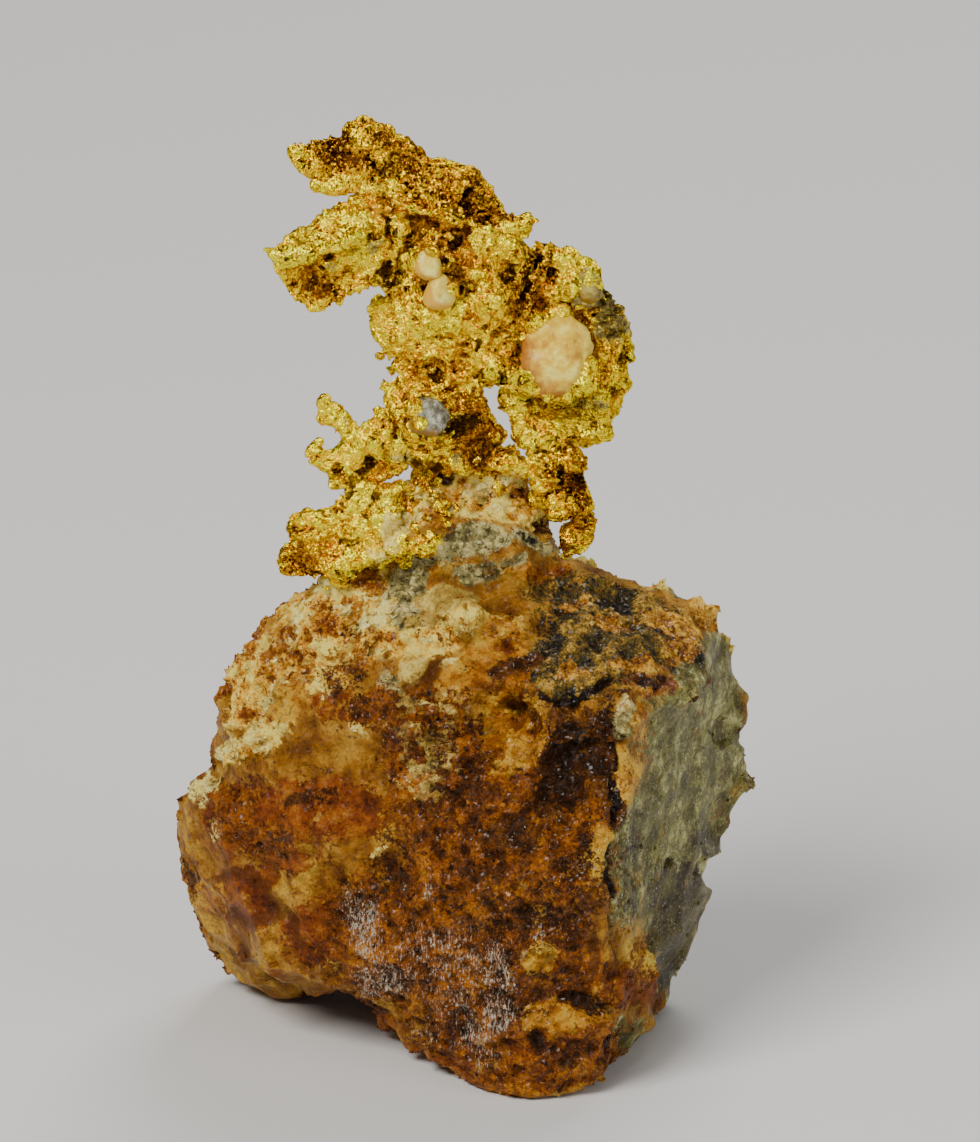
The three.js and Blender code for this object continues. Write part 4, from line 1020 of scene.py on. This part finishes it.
def gold_bodies(node, rock, random):
    """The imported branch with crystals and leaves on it, rims round its grains and gilt on the rock."""
    points, faces = solid_of(node)
    points = points - GOLD_INSET * normals_of(points, faces)
    bodies = [(points, faces)]
    for per_mm2, smallest, largest, flatness in GOLD_CRYSTALS:
        spots, out, _ = scattered(points, faces, per_mm2, random)
        calm = in_ovals(display_place(spots, 90), GOLD_ZONES["leaf"] + GOLD_ZONES["stain"])
        calm = calm * (out @ TOWARD > 0)
        kept = (calm < 0.5) | (largest < LEAF_SIZE)
        bodies.append(lumps(spots[kept], out[kept], smallest, largest, flatness, 0.7 * largest, random))
    for grain in GRAINS_IN.get(node, []):
        spots, out, _ = scattered(*solid_of(grain), RIM_DENSITY, random)
        rim = (out @ TOWARD > -0.1) & (out @ TOWARD < RIM_REACH[grain])
        bodies.append(lumps(spots[rim], out[rim], *RIM_CRYSTALS, random))
    spots, out, _ = scattered(*rock, GILT_DENSITY, random)
    spilled = in_ovals(display_place(spots, 95), GILT_OF.get(node, []))
    gilt = (spilled > random.random(len(spots))) & (out @ TOWARD > 0.1) & (spots[:, 1] < GILT_BACK)
    bodies.append(lumps(spots[gilt], out[gilt], *GILT_CRYSTALS, random))
    return joined(bodies)


def gold_branch(node, seed, rock, material):
    random = np.random.default_rng(seed)
    points, faces = skinned(*gold_bodies(node, rock, random), GOLD_SKIN)
    points, faces = without_specks(points, faces, SPECK_POINTS)
    points, faces = thinned(points, faces, GOLD_TRIANGLES[node])
    out = normals_of(points, faces)
    front = smooth_step(out @ TOWARD, -0.2, 0.2)
    place = display_place(points, 90, GOLD_STRAY)
    values = {name: in_ovals(place, ovals) * front for name, ovals in GOLD_ZONES.items()}
    calm = np.clip(values["leaf"] + 0.8 * values["stain"], 0, 1)
    rise = 0.6 * scoops(points, 2.4, seed + 1) + 0.25 * layered(points, 1.1, seed + 2)
    rise += (1 - 0.5 * calm) * (0.24 * scoops(points, 0.6, seed + 3) + 0.06 * noise(points, 0.2, seed + 4))
    rise -= (1 - calm) * LACE_DEPTH * smooth_step(layered(points * LACE_GRAIN, 0.6, seed + 6, 3), 0.12, 0.5)
    rise -= GOLD_SHRINK + 0.2 * values["brown"] + 0.25 * values["stain"]
    rise += RIDGE_HEIGHT * on_routes(place, GOLD_RIDGES, RIDGE_WIDTH) * front
    rise -= FOLD_DEPTH * on_routes(place, GOLD_FOLDS, FOLD_WIDTH) * front
    rise += pushed(display_place(points, 97, EDGE_STRAY), GOLD_EDGES_OF[node])
    points = points + out * rise[:, None]
    # The relief sets the painted shade in the pits, and the broad relief sets the painted shade and light
    # of hollows and ridges.
    values["relief"] = relief(points, faces, 9)
    values["broad_relief"] = relief(points, faces, 50)
    add_piece(node + "_skin", points, faces, material, node, values)


# The gold's colours as its tone rises, then those of its zones, in the order they lie over each other,
# and how strong each zone is.
GOLD_TONES = [
    (0.4, (0.1, 0.03, 0.001)), (0.455, (0.62, 0.275, 0.001)), (0.5, (0.97, 0.62, 0.001)),
    (0.56, (1.0, 0.79, 0.001)), (0.65, (1.0, 0.92, 0.002)),
]
GOLD_LAYERS = [
    ("leaf", 0.8, [(0.4, (0.26, 0.14, 0.001)), (0.5, (0.84, 0.64, 0.003)), (0.62, (1.0, 0.9, 0.02))]),
    ("stain", 1.0, [(0.38, (0.12, 0.03, 0.001)), (0.5, (0.5, 0.19, 0.003)), (0.62, (0.9, 0.48, 0.01))]),
    ("dust", 1.0, [(0.38, (0.08, 0.055, 0.012)), (0.5, (0.24, 0.18, 0.05)), (0.62, (0.5, 0.4, 0.14))]),
    ("cream", 1.0, [(0.42, (0.3, 0.11, 0.01)), (0.5, (0.62, 0.4, 0.06)), (0.58, (0.9, 0.74, 0.22))]),
]
# The brown of the brown zones, also used for the painted shade in the gold's pits.
BROWN_TONES = [(0.38, (0.01, 0.004, 0.001)), (0.5, (0.06, 0.02, 0.001)), (0.62, (0.3, 0.12, 0.003))]


def gold_zones(look):
    """Where each of the gold's zones is, with a ragged border."""
    speckled = look.plus(-2.4, look.noise(0.2, 4, 0.75, shift=50), 2.6)
    ragged = look.plus(speckled, look.noise(0.9, 6, 0.7, shift=30), 2.2)
    return {name: look.step(look.plus(ragged, look.value(name)), 0.30, 0.85) for name in GOLD_ZONES}


def gold_tone(look, speck, zones):
    """The pattern that the colours follow: specks on broad clouds, darker in dull zones, with painted shade
    in broad hollows and painted light on broad ridges.
    """
    crispness = look.step(look.noise(2.2, 3, shift=70), 0.42, 0.58, 0.3, 0.7)
    tone = look.plus(0.37, look.noise(1.5, 5, 0.65), 0.3)
    tone = look.plus(tone, look.math("SUBTRACT", speck, 0.5), crispness)
    # Painted shade in broad hollows and painted light on broad ridges.
    tone = look.plus(tone, look.step(look.value("broad_relief"), -0.3, 0.25, -0.06, 0.04))
    for name, share in (("dull", -0.08), ("bright", 0.05), ("leaf", 0.02)):
        tone = look.plus(tone, zones[name], share)
    return tone


def gold_color(look, tone, zones):
    """The gold's colour with its zones over it, brown in the brown zones, and painted shade in the pits."""
    color = look.ramp(tone, GOLD_TONES)
    for name, strength, stops in GOLD_LAYERS:
        color = look.mix(look.math("MULTIPLY", zones[name], strength), color, look.ramp(tone, stops))
    # Painted shade: brown in the pits, where the relief is low.
    pit_shade = look.step(look.value("relief"), -0.03, -0.19)
    dark = look.math("MAXIMUM", zones["brown"], look.math("MULTIPLY", pit_shade, 0.75))
    return look.mix(dark, color, look.ramp(tone, BROWN_TONES))


def gold_look():
    """Native gold, with films of rust, dust and cream quartz that dull it."""
    look = Look("native_gold")
    speck = look.noise(0.15, 3, 0.65)
    zones = gold_zones(look)
    color = gold_color(look, gold_tone(look, speck, zones), zones)
    rusty = [look.math("MULTIPLY", zones[name], share) for name, share in (("brown", 0.5), ("stain", 0.3))]
    film = look.math("MAXIMUM", *rusty)
    for name in ("dust", "cream"):
        film = look.math("MAXIMUM", film, zones[name])
    rough = look.step(film, 0.0, 1.0, 0.2, 0.6)
    metal = look.step(film, 0.1, 1.0, 1.0, 0.1)
    normal = look.bump(speck, 0.06, look.tilted(0.24, 0.85))
    normal = look.bump(look.cells(0.16)["Distance"], 0.05, normal)
    return look.finish(color, rough, normal, metal, Specular_Tint=(1.0, 0.64, 0.0, 1.0),
                       Specular_IOR_Level=0.2)


# ---------------------------------------------------------------- studio
FLOOR_HALF = 3000.0  # mm
SKY_STRENGTH = 0.17


def add_floor():
    corners = np.array([[-1, -1, 0], [1, -1, 0], [1, 1, 0], [-1, 1, 0]]) * FLOOR_HALF
    obj = bpy.data.objects.new("floor", mesh_from("floor", corners * MM, np.array([[0, 1, 2, 3]])))
    look = Look("floor")
    obj.data.materials.append(look.finish((0.76, 0.755, 0.74), 0.7, None))
    bpy.context.scene.collection.objects.link(obj)


def add_facing(name, data, way, distance):
    """Puts a camera or a light at a distance from the target, that way, so that it faces the target."""
    obj = bpy.data.objects.new(name, data)
    obj.location = (Vector(TARGET) + way * distance) * MM
    obj.rotation_euler = way.to_track_quat("Z", "Y").to_euler()
    bpy.context.scene.collection.objects.link(obj)
    return obj


def add_light(name, azimuth, elevation, distance, size, watts, color):
    """A square soft light that faces the specimen."""
    light = bpy.data.lights.new(name, "AREA")
    light.size = size * MM
    light.energy = watts
    light.color = color
    a, e = math.radians(azimuth), math.radians(elevation)
    way = Vector((math.sin(a) * math.cos(e), -math.cos(a) * math.cos(e), math.sin(e)))
    add_facing(name, light, way, distance)


def add_world():
    world = bpy.data.worlds.new("studio")
    world.use_nodes = True
    background = world.node_tree.nodes["Background"]
    background.inputs["Color"].default_value = (0.80, 0.82, 0.86, 1)
    background.inputs["Strength"].default_value = SKY_STRENGTH
    bpy.context.scene.world = world


def add_camera():
    data = bpy.data.cameras.new("camera")
    data.sensor_width = SENSOR
    data.lens = SENSOR * CAMERA_DISTANCE / FRAME_HEIGHT
    data.clip_start = 0.01
    data.clip_end = 10
    bpy.context.scene.camera = add_facing("camera", data, Vector(TOWARD), CAMERA_DISTANCE)


# ---------------------------------------------------------------- the specimen
add_camera()
add_world()
add_floor()
add_light("key", -38, 46, 520, 220, 2.8, (1.0, 0.97, 0.92))
add_light("fill", 50, 22, 560, 300, 0.85, (0.97, 0.98, 1.0))
add_light("rim", 160, 50, 520, 240, 1.3, (1.0, 0.98, 0.95))

rock_skin = quartz_block(quartz_look())
gold = gold_look()
for number, branch in enumerate(GOLD_TRIANGLES):
    gold_branch(branch, 100 + 10 * number, rock_skin, gold)

MILKY_TONES = [(0.36, (0.62, 0.30, 0.02)), (0.50, (0.86, 0.58, 0.05)), (0.62, (0.98, 0.82, 0.16))]
PALE_TONES = [(0.34, (0.78, 0.48, 0.04)), (0.48, (0.90, 0.68, 0.10)), (0.60, (0.98, 0.86, 0.24))]
GREY_TONES = [(0.38, (0.06, 0.05, 0.02)), (0.50, (0.22, 0.21, 0.14)), (0.60, (0.50, 0.50, 0.38))]
TAWNY_TONES = [(0.38, (0.12, 0.08, 0.01)), (0.50, (0.34, 0.24, 0.04)), (0.62, (0.55, 0.43, 0.09))]
milky = grain_look("milky_quartz", MILKY_TONES, (0.46, 0.16, 0.02))
pale = grain_look("pale_quartz", PALE_TONES, (0.72, 0.40, 0.04))
grey = grain_look("grey_quartz", GREY_TONES, (0.30, 0.16, 0.03), patch=0.4)
tawny = grain_look("tawny_quartz", TAWNY_TONES, (0.30, 0.15, 0.01))
quartz_grain("quartz_grain_large", 300, milky, break_height=0.2)
quartz_grain("quartz_grain_upper", 301, pale)
quartz_grain("quartz_grain_lower", 302, pale)
quartz_grain("quartz_grain_grey", 320, grey, depth=0.15, break_height=0.7)
quartz_grain("quartz_grain_shoulder", 321, tawny, depth=0.75)
